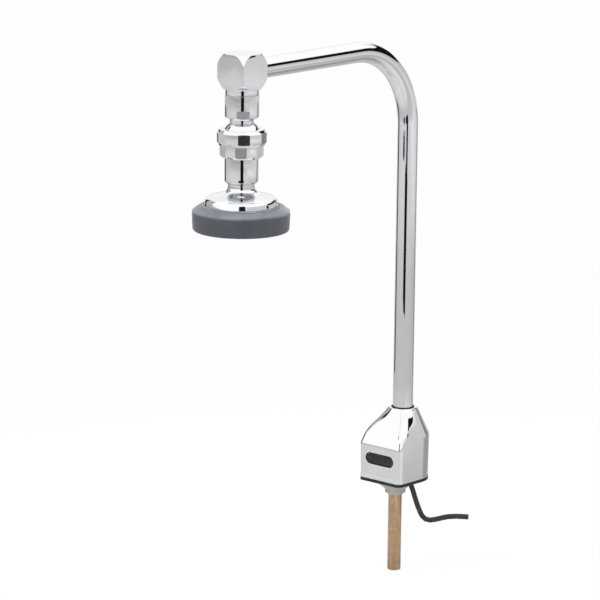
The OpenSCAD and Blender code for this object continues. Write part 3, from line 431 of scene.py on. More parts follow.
# %% [markdown]
# The sensor window
# A dark plastic lens sits behind the wall, with a black rubber rim round it. The lens is slightly domed at
# its edge, so its first rings grow in steps. The rim is a plate with a hole the size of the lens, cut by a
# second block.

# %% Lens and rim
lens_size = (WINDOW[0] - 2 * RIM_W, WINDOW[1] - 2 * RIM_W)
FLANGE = 1.1
wall_y = FRONT_Y + BODY_WALL
lens = slot_block("window_lens", lens_size, [
    (-1.6, eye_y + 0.3), (-0.9, eye_y + 0.32), (-0.35, eye_y + 0.42), (0, eye_y + 0.75), (0, wall_y + 0.05),
    (FLANGE + RIM_W, wall_y + 0.05), (FLANGE + RIM_W, wall_y + 1),
])
hand_over(lens, "sensor_lens", 40)
rim = slot_block("window_rim", (WINDOW[0] - 0.1, WINDOW[1] - 0.1), [
    (-0.2, eye_y + 0.2), (0, eye_y + 0.4), (0, wall_y),
])
hole = slot_block("rim_cutter", lens_size, [(0.05, FRONT_Y - 1), (0.05, wall_y + 1)])
apply_boolean(rim, hole, "DIFFERENCE")
hand_over(rim, "lens_rim", 40)

# %% [markdown]
# The spout tube
# One length of chromed brass tube is bent once. Two rings, outside and inside, are extruded up the riser,
# spun through the bend and extruded along the arm, and the two ends are closed with rings of faces.

# %% Spout tube
TUBE_WALL = 1.2
TUBE_FOOT_Z = 59.2
TUBE_SIDES = 96
# The arm's end is hidden inside the elbow, this far from the head's axis
ARM_END_GAP = 6.05
ARM_END_Y = HEAD_Y + ARM_END_GAP
bend_z = ARM_Z - BEND_R
bend_y = RISER_BACK - BEND_R
deselect()
bpy.ops.mesh.primitive_circle_add(vertices=TUBE_SIDES, radius=TUBE_R * MM,
                                  location=(0, RISER_BACK * MM, TUBE_FOOT_Z * MM))
tube = bpy.context.object
tube.name = "bent_tube"
bpy.ops.object.mode_set(mode="EDIT")
bpy.ops.mesh.primitive_circle_add(vertices=TUBE_SIDES, radius=(TUBE_R - TUBE_WALL) * MM,
                                  location=(0, RISER_BACK * MM, TUBE_FOOT_Z * MM))
bpy.ops.mesh.select_all(action="SELECT")
bpy.ops.mesh.extrude_edges_move(TRANSFORM_OT_translate={"value": (0, 0, (bend_z - TUBE_FOOT_Z) * MM)})
bpy.ops.mesh.spin(steps=48, angle=-math.pi / 2, center=(0, bend_y * MM, bend_z * MM), axis=(1, 0, 0))
bpy.ops.mesh.extrude_edges_move(TRANSFORM_OT_translate={"value": (0, (ARM_END_Y - bend_y) * MM, 0)})
bpy.ops.mesh.select_mode(type="EDGE")
bpy.ops.mesh.select_non_manifold(extend=False, use_wire=True, use_boundary=True)
mesh = bmesh.from_edit_mesh(tube.data)
open_edges = [edge for edge in mesh.edges if edge.select]
print("open edges of the tube", len(open_edges))
for at_foot in (True, False):
    mesh = bmesh.from_edit_mesh(tube.data)
    for face in mesh.faces:
        face.select = False
    for edge in mesh.edges:
        low = all(v.co.z < (TUBE_FOOT_Z + 1) * MM for v in edge.verts)
        edge.select = edge.is_boundary and low == at_foot
    mesh.select_flush_mode()
    bpy.ops.mesh.bridge_edge_loops()
bpy.ops.mesh.select_all(action="SELECT")
bpy.ops.mesh.remove_doubles(threshold=1e-7)
bpy.ops.mesh.normals_make_consistent(inside=False)
bpy.ops.object.mode_set(mode="OBJECT")
hand_over(tube, "spout_tube", 40)

# %% [markdown]
# The elbow
# The real elbow is turned from a cube: a sphere cuts its corners round and leaves six flat faces. A cube
# and a sphere are intersected, the edges are broken with a small bevel, and a round hub is joined below.

# %% Elbow
ELBOW_SIDE = 31.5
ELBOW_SPHERE_R = 23
ELBOW_HUB_R = 15.1
ELBOW_DROP = 20.9
elbow = box("square_elbow", (ELBOW_SIDE, ELBOW_SIDE, ELBOW_SIDE), (0, HEAD_Y, ARM_Z))
deselect()
bpy.ops.mesh.primitive_uv_sphere_add(segments=128, ring_count=64, radius=ELBOW_SPHERE_R * MM,
                                     location=(0, HEAD_Y * MM, ARM_Z * MM))
apply_boolean(elbow, bpy.context.object, "INTERSECT")
elbow_hub = turned("elbow_hub", rounded([
    (2, -ELBOW_SIDE / 2 + 2), (ELBOW_HUB_R, -ELBOW_SIDE / 2 + 2), (ELBOW_HUB_R, -ELBOW_DROP),
    (2, -ELBOW_DROP),
], 0.5), base=ARM_Z)
apply_bevel(elbow, 0.5, 3, 25)
apply_boolean(elbow, elbow_hub, "UNION")
hand_over(elbow, "outlet_elbow", 20)

# %% [markdown]
# The collar and ball
# One turned part screws into the elbow. Its collar has two wrench flats, and its lower end is the ball on
# which the head tilts.


# %% Collar and ball
# Points of a part circle round the ball's centre, from one angle to another
def ball_curve(radius, start, end, count):
    angles = (start + (end - start) * k / count for k in range(count + 1))
    return [(radius * math.cos(a), radius * math.sin(a)) for a in angles]


BALL_R = 17.6
COLLAR_R = 15.35
COLLAR_TOP = 39.05
COLLAR_BOTTOM = 17.3
COLLAR_CHAMFER = 2.2
BALL_NECK_R = 10.6
BALL_BOTTOM = -14.5
STEM_R = 9.4
STEM_H = 8
BORE_R = 5.5
ball_arc = ball_curve(BALL_R, math.acos(BALL_NECK_R / BALL_R), math.asin(BALL_BOTTOM / BALL_R), 36)
collar = turned("collar_and_ball", rounded([
    (BORE_R, COLLAR_TOP + STEM_H), (STEM_R, COLLAR_TOP + STEM_H), (STEM_R, COLLAR_TOP),
    (COLLAR_R, COLLAR_TOP), (COLLAR_R, COLLAR_BOTTOM + COLLAR_CHAMFER), (BALL_NECK_R + 2, COLLAR_BOTTOM),
    (BALL_NECK_R, COLLAR_BOTTOM), (BALL_NECK_R, ball_arc[0][1] + 0.3),
], 0.35) + ball_arc + [(BORE_R, BALL_BOTTOM)])
COLLAR_FLATS = 28.4
FLATS_H = 6.5
collar_turn = CAMERA_TURN + 3.4
for side in (-1, 1):
    out = side * (COLLAR_FLATS / 2 + COLLAR_R)
    turn = math.radians(collar_turn)
    flat_z = BALL_Z + COLLAR_BOTTOM + (FLATS_H + COLLAR_CHAMFER) / 2 - 1
    tool = box("flat_cutter", (2 * COLLAR_R + 4, 2 * COLLAR_R, FLATS_H + COLLAR_CHAMFER + 2),
               (-out * math.sin(turn), HEAD_Y + out * math.cos(turn), flat_z), collar_turn)
    apply_boolean(collar, tool, "DIFFERENCE")
mark_milled(collar, COLLAR_FLATS / 2, 0.34)
hand_over(collar, "ball_stem", 12)

# %% [markdown]
# The nuts and the sleeve
# The union nut holds the ball, the socket nut below it screws up into it, and a plain sleeve joins the
# head. Both nuts are round bar with six shallow flats, so a hexagon is intersected with a turned blank.


# %% Six flats
def six_flats(blank, flats, turn, top, bottom):
    deselect()
    bpy.ops.mesh.primitive_cylinder_add(vertices=6, radius=flats / math.sqrt(3) * MM,
                                        depth=(top - bottom + 4) * MM,
                                        location=(0, HEAD_Y * MM, (BALL_Z + (top + bottom) / 2) * MM),
                                        rotation=(0, 0, math.radians(turn + 30)))
    apply_boolean(blank, bpy.context.object, "INTERSECT")


# %% Union nut
UNION_R = 22.3
UNION_TOP = 8.4
UNION_BOTTOM = -5.8
UNION_FLATS = 43.3
THREAD_R = 19.05
SOCKET_R = BALL_R + 0.12
socket_arc = ball_curve(SOCKET_R, 0, math.asin(UNION_TOP / SOCKET_R), 8)
union_nut = turned("union_nut_blank", rounded([
    (THREAD_R, -0.5), (THREAD_R, UNION_BOTTOM), (UNION_R - 1.4, UNION_BOTTOM),
    (UNION_R - 0.8, UNION_BOTTOM + 2), (UNION_R, UNION_BOTTOM + 2.5), (UNION_R, UNION_TOP - 2.9),
    (UNION_R - 0.8, UNION_TOP - 2.4), (UNION_R - 2, UNION_TOP), (socket_arc[-1][0] + 0.6, UNION_TOP),
], [0, 0.4, 0.3, 0.15, 0.15, 0.3, 0.5]) + socket_arc[::-1])
six_flats(union_nut, UNION_FLATS, CAMERA_TURN + 4.5, UNION_TOP, UNION_BOTTOM)
mark_milled(union_nut, UNION_FLATS / 2, 0.06)
hand_over(union_nut, "union_nut", 9)

# %% Socket nut
NUT_R = 19.6
NUT_TOP = -6.1
NUT_BOTTOM = -17
NUT_FLATS = 37.8
RING_R = 18.9
RING_TOP = -3.15
SPIGOT_R = 12.5
SPIGOT_H = 7
WATER_R = 6
CUP_R = BALL_R + 0.24
SEAL_R = 14.05
cup_arc = ball_curve(CUP_R, -math.acos(SEAL_R / CUP_R), math.asin(RING_TOP / CUP_R), 12)
socket_nut = turned("socket_nut_blank", rounded([
    cup_arc[-1], (RING_R, RING_TOP), (RING_R, NUT_TOP), (NUT_R - 0.2, NUT_TOP), (NUT_R, NUT_TOP - 0.4),
    (NUT_R, NUT_BOTTOM + 1.8), (NUT_R - 1.8, NUT_BOTTOM), (SPIGOT_R, NUT_BOTTOM),
    (SPIGOT_R, NUT_BOTTOM - SPIGOT_H), (WATER_R, NUT_BOTTOM - SPIGOT_H),
], [0, 0, 0.2, 0.2, 0.9, 0.5, 0, 0], steps=4) + [
    (WATER_R, NUT_BOTTOM + 3), (SEAL_R, NUT_BOTTOM + 3), *cup_arc[:-1],
])
six_flats(socket_nut, NUT_FLATS, CAMERA_TURN - 3, NUT_TOP + 4, NUT_BOTTOM - SPIGOT_H)
mark_milled(socket_nut, NUT_FLATS / 2, 0.3)
hand_over(socket_nut, "socket_nut", 9)

# %% Sleeve
SLEEVE_R = 15.2
SLEEVE_TOP = NUT_BOTTOM - 0.4
SLEEVE_BOTTOM = -40.4
SLEEVE_BORE_R = 12.55
SLEEVE_FOOT_R = 10.5
sleeve = turned("plain_sleeve", rounded([
    (SLEEVE_BORE_R, SLEEVE_TOP - 4), (SLEEVE_BORE_R, SLEEVE_TOP), (SLEEVE_R, SLEEVE_TOP),
    (SLEEVE_R, SLEEVE_BOTTOM + 1.7), (SLEEVE_R - 1.7, SLEEVE_BOTTOM), (SLEEVE_FOOT_R, SLEEVE_BOTTOM),
    (SLEEVE_FOOT_R, SLEEVE_BOTTOM + 6),
], [0.2, 0.5, 1.2, 0.6, 0]))
hand_over(sleeve, "head_sleeve", 35)

# %% [markdown]
# The spray bell and its bumper
# The bell is spun or cast brass: a grooved neck, a wide curved flare, a shoulder and a skirt that the
# rubber bumper hides. Its outline is two curves, so it is turned like the rest. The bumper is a moulded
# rubber ring with a thin lip against the bell and a groove round its top.


# %% Bell
def curve(a, b, c, d, count):
    a, b, c, d = (Vector(p) for p in (a, b, c, d))
    return [tuple((1 - t) ** 3 * a + 3 * (1 - t) ** 2 * t * b + 3 * (1 - t) * t * t * c + t ** 3 * d)
            for t in (k / count for k in range(count + 1))]


BELL_TOP = -40.5
BELL_NECK_R = 12
BELL_NECK_H = 3.6
BELL_H = 15.9
SHOULDER_R = 32
BELL_RIM_R = 36.2
BELL_WALL = 1.8
SKIRT_BOTTOM = -77.85
SHOULDER_SHARE = 0.66
NECK_GROOVES = (1.1, 2.3)
NECK_GROOVE_DEPTH = 0.5
BELL_SPIGOT_R = 10.4
BELL_SPIGOT_H = 12
WIDE_SIDES = 144
bell_neck_z = BELL_TOP - BELL_NECK_H
bell_rim_z = bell_neck_z - BELL_H
bell_shoulder_z = bell_neck_z - SHOULDER_SHARE * BELL_H


def bell_side(inset, count):
    shoulder_z = bell_shoulder_z - inset
    neck_r, shoulder_r, rim_r = (r - inset for r in (BELL_NECK_R, SHOULDER_R, BELL_RIM_R))
    flare = curve((neck_r, bell_neck_z - inset), (neck_r + 0.8, bell_neck_z - 5.6 - inset),
                  (neck_r + 8, bell_neck_z - 5.9 - inset), (shoulder_r - 1.4, shoulder_z + 0.8), count)
    skirt = [(shoulder_r + 0.8, shoulder_z - 2.4), (shoulder_r + 1.3, shoulder_z - 5.7),
             (rim_r, bell_rim_z - 2.4 - inset)]
    turn_over = curve(flare[-1], (shoulder_r - 0.3, shoulder_z + 0.25),
                      (shoulder_r + 0.2, shoulder_z - 0.5), skirt[0], 6)
    return flare + turn_over[1:-1] + skirt


neck_outline = [(BELL_NECK_R - 1.5, BELL_TOP), (BELL_NECK_R, BELL_TOP)]
groove_floor_r = BELL_NECK_R - NECK_GROOVE_DEPTH
for groove in NECK_GROOVES:
    top = BELL_TOP - groove + 0.4
    neck_outline += [(BELL_NECK_R, top), (groove_floor_r, top), (groove_floor_r, top - 0.4),
                     (BELL_NECK_R, top - 0.4)]
neck_outline += [(BELL_NECK_R, bell_neck_z)]
bell_outline = rounded(neck_outline, 0.1, steps=2) + bell_side(0, 28)[1:] + [
    (BELL_RIM_R, SKIRT_BOTTOM), (BELL_RIM_R - BELL_WALL, SKIRT_BOTTOM),
] + bell_side(BELL_WALL, 12)[::-1] + [
    (WATER_R, bell_neck_z - BELL_WALL), (WATER_R, BELL_TOP + BELL_SPIGOT_H),
    (BELL_SPIGOT_R, BELL_TOP + BELL_SPIGOT_H), (BELL_SPIGOT_R, BELL_TOP),
]
bell = turned("flared_bell", bell_outline, sides=WIDE_SIDES)
hand_over(bell, "spray_bell", 35)

# %% Bumper
BUMPER_R = 44
BUMPER_H = 20.8
BUMPER_DRAFT = 0.8
LIP_START = SHOULDER_R + 1.55
GROOVE_R = BELL_RIM_R + 1.1
BUMPER_BORE_R = BELL_RIM_R + 0.05
LEDGE_R = BELL_RIM_R - 2.3
LEDGE_H = 3.15
lip_z = bell_shoulder_z - 5.2
groove_z = bell_rim_z - 1.6
bumper_top = bell_rim_z - 2.6
bumper_bottom = bumper_top - BUMPER_H
print("bumper", round(-bumper_top, 2), "to", round(-bumper_bottom, 2), "mm below the ball's centre")
bumper = turned("rubber_ring", rounded([
    (BUMPER_BORE_R, bumper_bottom + 6), (BUMPER_BORE_R, bell_rim_z - 2), (LIP_START, lip_z - 0.6),
    (LIP_START, lip_z), (GROOVE_R - 1.3, groove_z + 0.9), (GROOVE_R - 0.5, groove_z - 0.4),
    (GROOVE_R + 0.1, groove_z - 0.4), (GROOVE_R + 0.7, groove_z + 0.1),
    (BUMPER_R - 3.4, bumper_top - 0.9), (BUMPER_R, bumper_top - 3), (BUMPER_R - BUMPER_DRAFT, bumper_bottom),
    (LEDGE_R, bumper_bottom), (LEDGE_R, bumper_bottom + LEDGE_H),
    (BUMPER_BORE_R, bumper_bottom + LEDGE_H),
], [0.2, 0.1, 0.3, 0.7, 0.2, 0.2, 0.5, 2.5, 2.5, 2.5, 0.6, 0.2], steps=4), sides=WIDE_SIDES)
hand_over(bumper, "rubber_bumper", 40)

# %% [markdown]
# Room and light
# Chrome has no look of its own: it shows the room. The dark streaks in the photograph tell what the room
# was: a white roof that comes down further on the left, light grey walls, a white backdrop, and black
# panels near the faucet. Two in front make the streak down the middle of every upright cylinder, one on
# the left and one behind darken their edges, a small high one shapes the ridges of the body, and the two
# highest draw the black line along the arm. The world shows its tent to reflections only, and only they
# see these seven panels. What lights the rubber, the cord and the copper is plain soft light, from the
# world and two lamps, with a narrow third lamp for the top of the bumper.


# %% Socket helper for shader maths
class Socket:
    def __init__(self, tree, out):
        self.tree, self.out = tree, out

    def math(self, operation, *others):
        return node(self.tree, "ShaderNodeMath", {"operation": operation}, [self, *others])

    def __add__(self, other):
        return self.math("ADD", other)

    def __sub__(self, other):
        return self.math("SUBTRACT", other)

    def __mul__(self, other):
        return self.math("MULTIPLY", other)

    def __truediv__(self, other):
        return self.math("DIVIDE", other)

    def __rsub__(self, other):
        return node(self.tree, "ShaderNodeMath", {"operation": "SUBTRACT"}, [other, self])

    __radd__ = __add__
    __rmul__ = __mul__


def plug(tree, target, value):
    if isinstance(value, Socket):
        tree.links.new(value.out, target)
    else:
        target.default_value = value


def node(tree, kind, settings=None, inputs=(), output=0):
    made = tree.nodes.new(kind)
    for name, value in (settings or {}).items():
        setattr(made, name, value)
    pairs = inputs.items() if isinstance(inputs, dict) else enumerate(inputs)
    for key, value in pairs:
        plug(tree, made.inputs[key], value)
    return Socket(tree, made.outputs[output])


# Smooth step from 0 at low to 1 at high
def step(value, low, high):
    return node(value.tree, "ShaderNodeMapRange", {"interpolation_type": "SMOOTHSTEP"},
                {"Value": value, "From Min": low, "From Max": high})


# %% World: a tent for reflections, soft light for the rest
world = bpy.data.worlds.new("tent")
bpy.context.scene.world = world
world.use_nodes = True
tree = world.node_tree
tree.nodes.clear()
direction = node(tree, "ShaderNodeTexCoord")
split = tree.nodes.new("ShaderNodeSeparateXYZ")
tree.links.new(direction.out, split.inputs[0])
dx, dy, dz = (Socket(tree, split.outputs[i]) for i in range(3))
flat_len = (dx * dx + dy * dy).math("SQRT")
across = (dx * math.cos(CAM_AZIMUTH) + dy * math.sin(CAM_AZIMUTH)) / flat_len
toward = (dx * math.sin(CAM_AZIMUTH) - dy * math.cos(CAM_AZIMUTH)) / flat_len
right_side = step(across, -0.1, 0.5)
left_edge = 0.10 + 0.55 * step(0 - toward, 0.14, 0.34)
roof = step(dz - left_edge, -0.04, 0.04) * (1 - right_side) + step(dz, 0.30, 0.50) * right_side
behind = step(0 - toward, 0.55, 0.95)
walls = 0.42 + 0.10 * step(dz, -0.2, 0.25) + 0.16 * right_side * (1 - behind) + 0.50 * behind
aside = across.math("ABSOLUTE")
dark_edge = step(aside, 0.40, 0.50) * (1 - step(aside, 0.66, 0.74)) * step(0 - toward, 0.0, 0.2)
dark_edge = dark_edge * (1 - step(dz, 0.35, 0.7)) * (1 - 0.4 * right_side)
wedge = step(0 - toward, 0.25, 0.29) * (1 - step(0 - toward, 0.46, 0.52)) * step(dz, 0.44, 0.49)
wedge = wedge * step(0 - across, 0.3, 0.4) * (1 - step(dz, 0.56, 0.62))
tent = (walls * (1 - roof) + 1.2 * roof) * (1 - 0.95 * dark_edge) * (1 - 0.95 * wedge)
soft = 0.42 + 0.40 * step(dz, -0.2, 0.9)
light_path = tree.nodes.new("ShaderNodeLightPath")
is_camera, is_glossy = (Socket(tree, light_path.outputs[name]) for name in ("Is Camera Ray", "Is Glossy Ray"))
strength = is_camera * 1.02 + (1 - is_camera) * (is_glossy * tent + (1 - is_glossy) * soft)
background = tree.nodes.new("ShaderNodeBackground")
background.inputs["Color"].default_value = (1, 1, 1, 1)
plug(tree, background.inputs["Strength"], strength)
world_out = tree.nodes.new("ShaderNodeOutputWorld")
tree.links.new(background.outputs[0], world_out.inputs[0])
bpy.context.scene.view_settings.view_transform = "Standard"
print("world", world.name, "with", len(tree.nodes), "nodes")


# %% Lamps
def soft_lamp(name, place, size, power):
    data = bpy.data.lights.new(name, "AREA")
    data.shape = "SQUARE"
    data.size = size
    data.energy = power
    lamp = bpy.data.objects.new(name, data)
    aim = (-Vector(place)).to_track_quat("-Z", "Y").to_matrix().to_4x4()
    lamp.matrix_world = Matrix.Translation(place) @ aim
    bpy.context.scene.collection.objects.link(lamp)
    lamp.visible_glossy = False
    print(name, power, "W")
    return lamp


soft_lamp("key_lamp", (-0.6, -2.2, 2.4), 1.6, 22)
soft_lamp("fill_lamp", (2.4, -0.4, 1.4), 1.6, 10)
ABOVE_HEAD = (0, HEAD_Y * MM, 2.2)
top_lamp = soft_lamp("top_lamp", ABOVE_HEAD, 0.2, 0.3)
top_lamp.matrix_world = Matrix.Translation(ABOVE_HEAD)
top_lamp.data.spread = math.radians(9)


# %% Dark panels
# An upright plate seen by reflections only; its ends are metres towards the camera and to its right
def dark_panel(name, start, end, low, high, glow=0.008):
    side = Vector((math.cos(CAM_AZIMUTH), math.sin(CAM_AZIMUTH), 0))
    front = Vector((math.sin(CAM_AZIMUTH), -math.cos(CAM_AZIMUTH), 0))
    feet = [front * toward_m + side * across_m for toward_m, across_m in (start, end)]
    corners = [feet[k] + Vector((0, 0, z)) for k, z in ((0, low), (1, low), (1, high), (0, high))]
    mesh = bpy.data.meshes.new(name)
    mesh.from_pydata([tuple(c) for c in corners], [], [(0, 1, 2, 3)])
    panel = bpy.data.objects.new(name, mesh)
    bpy.context.scene.collection.objects.link(panel)
    panel.visible_camera = False
    panel.visible_diffuse = False
    panel.visible_shadow = False
    panel.visible_transmission = False
    black = bpy.data.materials.new(name)
    black.use_nodes = True
    black.node_tree.nodes.clear()
    dull = node(black.node_tree, "ShaderNodeEmission", inputs={"Strength": glow})
    out = black.node_tree.nodes.new("ShaderNodeOutputMaterial")
    black.node_tree.links.new(dull.out, out.inputs[0])
    mesh.materials.append(black)
    print(name, "from", round(low, 3), "to", high, "m")


FLOOR_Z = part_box("supply_tube")[0].z
dark_panel("front_panel", (0.875, -0.37), (0.875, 0.075), -0.04, 0.12)
dark_panel("head_panel", (0.875, -0.22), (0.875, 0.03), 0.12, 0.75)
dark_panel("ridge_panel", (0.25, 1.0), (0.07, 1.0), 0.36, 0.54)
dark_panel("left_panel", (-0.306, -0.755), (-0.566, -0.587), FLOOR_Z, 0.26, 0.06)
dark_panel("back_panel", (-0.406, 0.698), (-0.58, 0.562), FLOOR_Z, 0.26, 0.25)
dark_panel("right_panel", (0.06, 1.0), (-0.5, 1.0), 0.54, 0.93)
dark_panel("rear_panel", (-0.5, 1.0), (-1.1, 0.35), 0.54, 0.93)

# %% [markdown]
# The floor
# The photograph's ground is blown out to white, yet the chrome shows grey bands of it. So the camera sees
# a floor that mostly glows, while light and reflections meet its paint. That paint carries painted shade and
# light: a darker ring round the faucet, lighter patches on the right and, in reflections only, a painted
# shadow of the faucet behind the riser.


# %% Floor
def measured(operation, place, *others):
    return node(place.tree, "ShaderNodeVectorMath", {"operation": operation}, [place, *others], output="Value")


FLOOR_HALF = 9
PAINTED_SHADOW_SPOT = (0.08, 0.46, FLOOR_Z)
floor_mesh = bpy.data.meshes.new("floor")
floor_corners = [(x * FLOOR_HALF, y * FLOOR_HALF, FLOOR_Z) for x, y in ((-1, -1), (1, -1), (1, 1), (-1, 1))]
floor_mesh.from_pydata(floor_corners, [], [(0, 1, 2, 3)])
floor = bpy.data.objects.new("floor", floor_mesh)
bpy.context.scene.collection.objects.link(floor)
floor_paint = bpy.data.materials.new("floor_paint")
floor_paint.use_nodes = True
tree = floor_paint.node_tree
tree.nodes.clear()
paint = tree.nodes.new("ShaderNodeBsdfDiffuse")
spot = node(tree, "ShaderNodeTexCoord", output="Object")
distance = measured("LENGTH", spot)
from_painted_shadow = measured("DISTANCE", spot, PAINTED_SHADOW_SPOT)
to_right = measured("DOT_PRODUCT", spot, (math.cos(CAM_AZIMUTH), math.sin(CAM_AZIMUTH), 0))
# Painted shade and light on the floor's paint: darker from 0.5 m to 0.8 m out, lighter far out and on the
# right
grey = 0.78 - 0.17 * step(distance, 0.5, 0.8) + 0.12 * step(distance, 1.2, 1.8)
grey = grey + 0.2 * step(to_right, 1.3, 2.0)
grey = grey + 0.12 * step(to_right, 0.15, 0.3) * (1 - step(distance, 0.6, 0.8))
seen_in_chrome = Socket(tree, tree.nodes.new("ShaderNodeLightPath").outputs["Is Glossy Ray"])
# A painted shadow of the faucet behind the riser, seen by reflections only
grey = grey * (1 - 0.55 * seen_in_chrome * (1 - step(from_painted_shadow, 0.12, 0.4)))
plug(tree, paint.inputs["Color"], node(tree, "ShaderNodeCombineColor", {}, [grey, grey, grey]))
glow = tree.nodes.new("ShaderNodeEmission")
glow.inputs["Strength"].default_value = 1.035
light_path = tree.nodes.new("ShaderNodeLightPath")
mix = tree.nodes.new("ShaderNodeMixShader")
plug(tree, mix.inputs[0], Socket(tree, light_path.outputs["Is Camera Ray"]) * 0.9)
tree.links.new(paint.outputs[0], mix.inputs[1])
tree.links.new(glow.outputs[0], mix.inputs[2])
floor_out = tree.nodes.new("ShaderNodeOutputMaterial")
tree.links.new(mix.outputs[0], floor_out.inputs[0])
floor_mesh.materials.append(floor_paint)
print("floor at", round(FLOOR_Z, 4))


# %% [markdown]
# Finishes
# A real surface is never one colour. Chrome has smudges and faint waves, rubber has a moulded grain and
# dust, copper is drawn and tarnished. Each finish is built from noise in the piece's own coordinates, in
# metres, so that a scale of 100 means marks about a centimetre across. Only what changes over the surface
# is wired; what is the same all over is set on the shader itself.

# %% Helpers for finishes
finishes = {}


def new_finish(slot_name, metallic=0.0, **constants):
    material = bpy.data.materials.new(slot_name)
    material.use_nodes = True
    tree = material.node_tree
    shader = tree.nodes["Principled BSDF"]
    shader.inputs["Metallic"].default_value = metallic
    for name, value in constants.items():
        shader.inputs[name.replace("_", " ").title()].default_value = value
    finishes[slot_name] = material
    print("finish", slot_name)
    return shader, node(tree, "ShaderNodeTexCoord", output="Object")


def cloud(place, scale, detail=3, roughness=0.5):
    return node(place.tree, "ShaderNodeTexNoise", inputs={"Vector": place, "Scale": scale, "Detail": detail,
                                                          "Roughness": roughness})


# Squeezes a pattern along x, y and z, so that marks become lines
def stretched(place, x, y, z):
    return node(place.tree, "ShaderNodeMapping", inputs={"Vector": place, "Scale": (x, y, z)})


def tint(amount, first, second):
    first, second = (c if isinstance(c, Socket) else (*c, 1) for c in (first, second))
    return node(amount.tree, "ShaderNodeMix", {"data_type": "RGBA"}, {0: amount, 6: first, 7: second},
                output=2)


def height_of(place):
    return node(place.tree, "ShaderNodeSeparateXYZ", inputs=[place], output="Z")


def wire(shader, colour, roughness, relief, depth):
    tree = colour.tree
    plug(tree, shader.inputs["Base Color"], colour)
    plug(tree, shader.inputs["Roughness"], roughness)
    bump = node(tree, "ShaderNodeBump", inputs={"Distance": depth, "Height": relief})
    plug(tree, shader.inputs["Normal"], bump)


# %% [markdown]
# Chrome
# Polished and plated brass looks almost black and white. Up close it has fingerprints that dull it, wiping
# haze and a faint waviness from polishing by hand. The wrench flats are milled and hardly polished, so
# their faces carry a number, milled, that makes them rougher and gives them cutter lines.

# %% Chrome
shader, place = new_finish("chrome", metallic=1.0)
smudge = cloud(place, 38, 5, 0.6)
wiping = cloud(stretched(place, 1, 1, 0.25), 420, 4, 0.7)
specks = step(cloud(place, 1500, 2), 0.70, 0.78)
milled = node(place.tree, "ShaderNodeAttribute", {"attribute_name": "milled"}, output="Fac")
cutter_lines = cloud(stretched(place, 60, 60, 2600), 1, 2)
chrome_colour = tint(step(smudge, 0.35, 0.7), (0.83, 0.84, 0.855), (0.79, 0.80, 0.82))
chrome_colour = tint(specks, chrome_colour, (0.62, 0.63, 0.66))
chrome_rough = 0.035 + 0.05 * step(smudge, 0.52, 0.74) + 0.03 * step(wiping, 0.5, 0.8) + milled
wire(shader, chrome_colour, chrome_rough,
     cloud(place, 95, 2) * 0.5 + wiping * 0.02 + cutter_lines * milled * 0.3, 0.00005)

# %% [markdown]
# Rubber
# The bumper is moulded in two halves: a fine parting line runs round it, the skin has a dull even grain,
# and it has lighter scuffs, made stronger at its upper edge as a painted highlight from the light above. The
# gasket and rings are softer, blacker and plain.

# %% Rubber
shader, place = new_finish("grey_rubber", sheen_weight=0.35, sheen_roughness=0.4)
patch = cloud(place, 45, 5, 0.6)
grain = cloud(place, 1900, 3, 0.6)
scuff = step(cloud(stretched(place, 1, 1, 4), 160, 5, 0.7), 0.56, 0.8)
z = height_of(place)
# Painted highlight: near the top edge the scuffs are three times as strong, standing in for light from above
highlight_edge_z = (BALL_Z + bumper_top - 3) * MM
painted_top_highlight = step(z, highlight_edge_z - 0.004, highlight_edge_z + 0.001)
part_z = (BALL_Z + bumper_bottom + 9) * MM
parting = 1 - step((z - part_z).math("ABSOLUTE"), 0.00015, 0.0005)
rubber_colour = tint(step(patch, 0.3, 0.7), (0.078, 0.086, 0.104), (0.092, 0.100, 0.118))
# Lighter scuffs all over, stronger at the top edge as a painted highlight
rubber_colour = tint(scuff * (0.25 + 0.5 * painted_top_highlight), rubber_colour, (0.19, 0.20, 0.22))
wire(shader, rubber_colour, 0.40 + 0.14 * patch + 0.08 * grain,
     grain * 0.6 + parting * 0.8 + patch * 0.3, 0.00022)


def moulded(slot_name, base, aged, roughness, grain_scale, depth, dust=0.15):
    shader, place = new_finish(slot_name)
    patch = cloud(place, 55, 4, 0.6)
    grain = cloud(place, grain_scale, 3, 0.65)
    dusty = step(cloud(place, 330, 5, 0.7), 0.55, 0.8)
    colour = tint(step(patch, 0.32, 0.68), base, aged)
    pale = tuple(0.6 * c + 0.12 for c in base)
    wire(shader, tint(dusty * dust, colour, pale), roughness + 0.10 * patch + 0.06 * dusty,
         grain + 0.5 * patch, depth)


moulded("black_rubber", (0.008, 0.008, 0.009), (0.014, 0.014, 0.015), 0.52, 1500, 0.00015)
moulded("cable_red", (0.42, 0.035, 0.025), (0.36, 0.03, 0.022), 0.42, 2400, 0.00006)

# %% [markdown]
# The cord jacket
# The jacket is extruded plastic: it is matt, with faint lines that run along it and a little dust. The
# cord's mesh was made from a curve, so it has a map that runs along its length, and the lines follow it.

# %% Cord jacket
shader, place = new_finish("cable_black")
along = node(place.tree, "ShaderNodeTexCoord", output="UV")
die_lines = cloud(stretched(along, 3, 60, 1), 1, 3)
jacket_patch = cloud(place, 120, 4, 0.6)
jacket_dust = step(cloud(place, 500, 5, 0.7), 0.58, 0.8)
jacket = tint(step(jacket_patch, 0.3, 0.7), (0.021, 0.021, 0.022), (0.030, 0.030, 0.031))
wire(shader, tint(jacket_dust * 0.2, jacket, (0.12, 0.12, 0.12)), 0.42 + 0.14 * jacket_patch,
     die_lines * 0.5 + cloud(place, 2600, 2) * 0.5, 0.00012)

# %% [markdown]
# Plastics inside and under the body
# The hub is cast grey nylon with a coarse grain. The sensor's housing, the coil's shell and the grommet are
# moulded in their own colours, and the circuit board shows copper tracks through its green varnish.

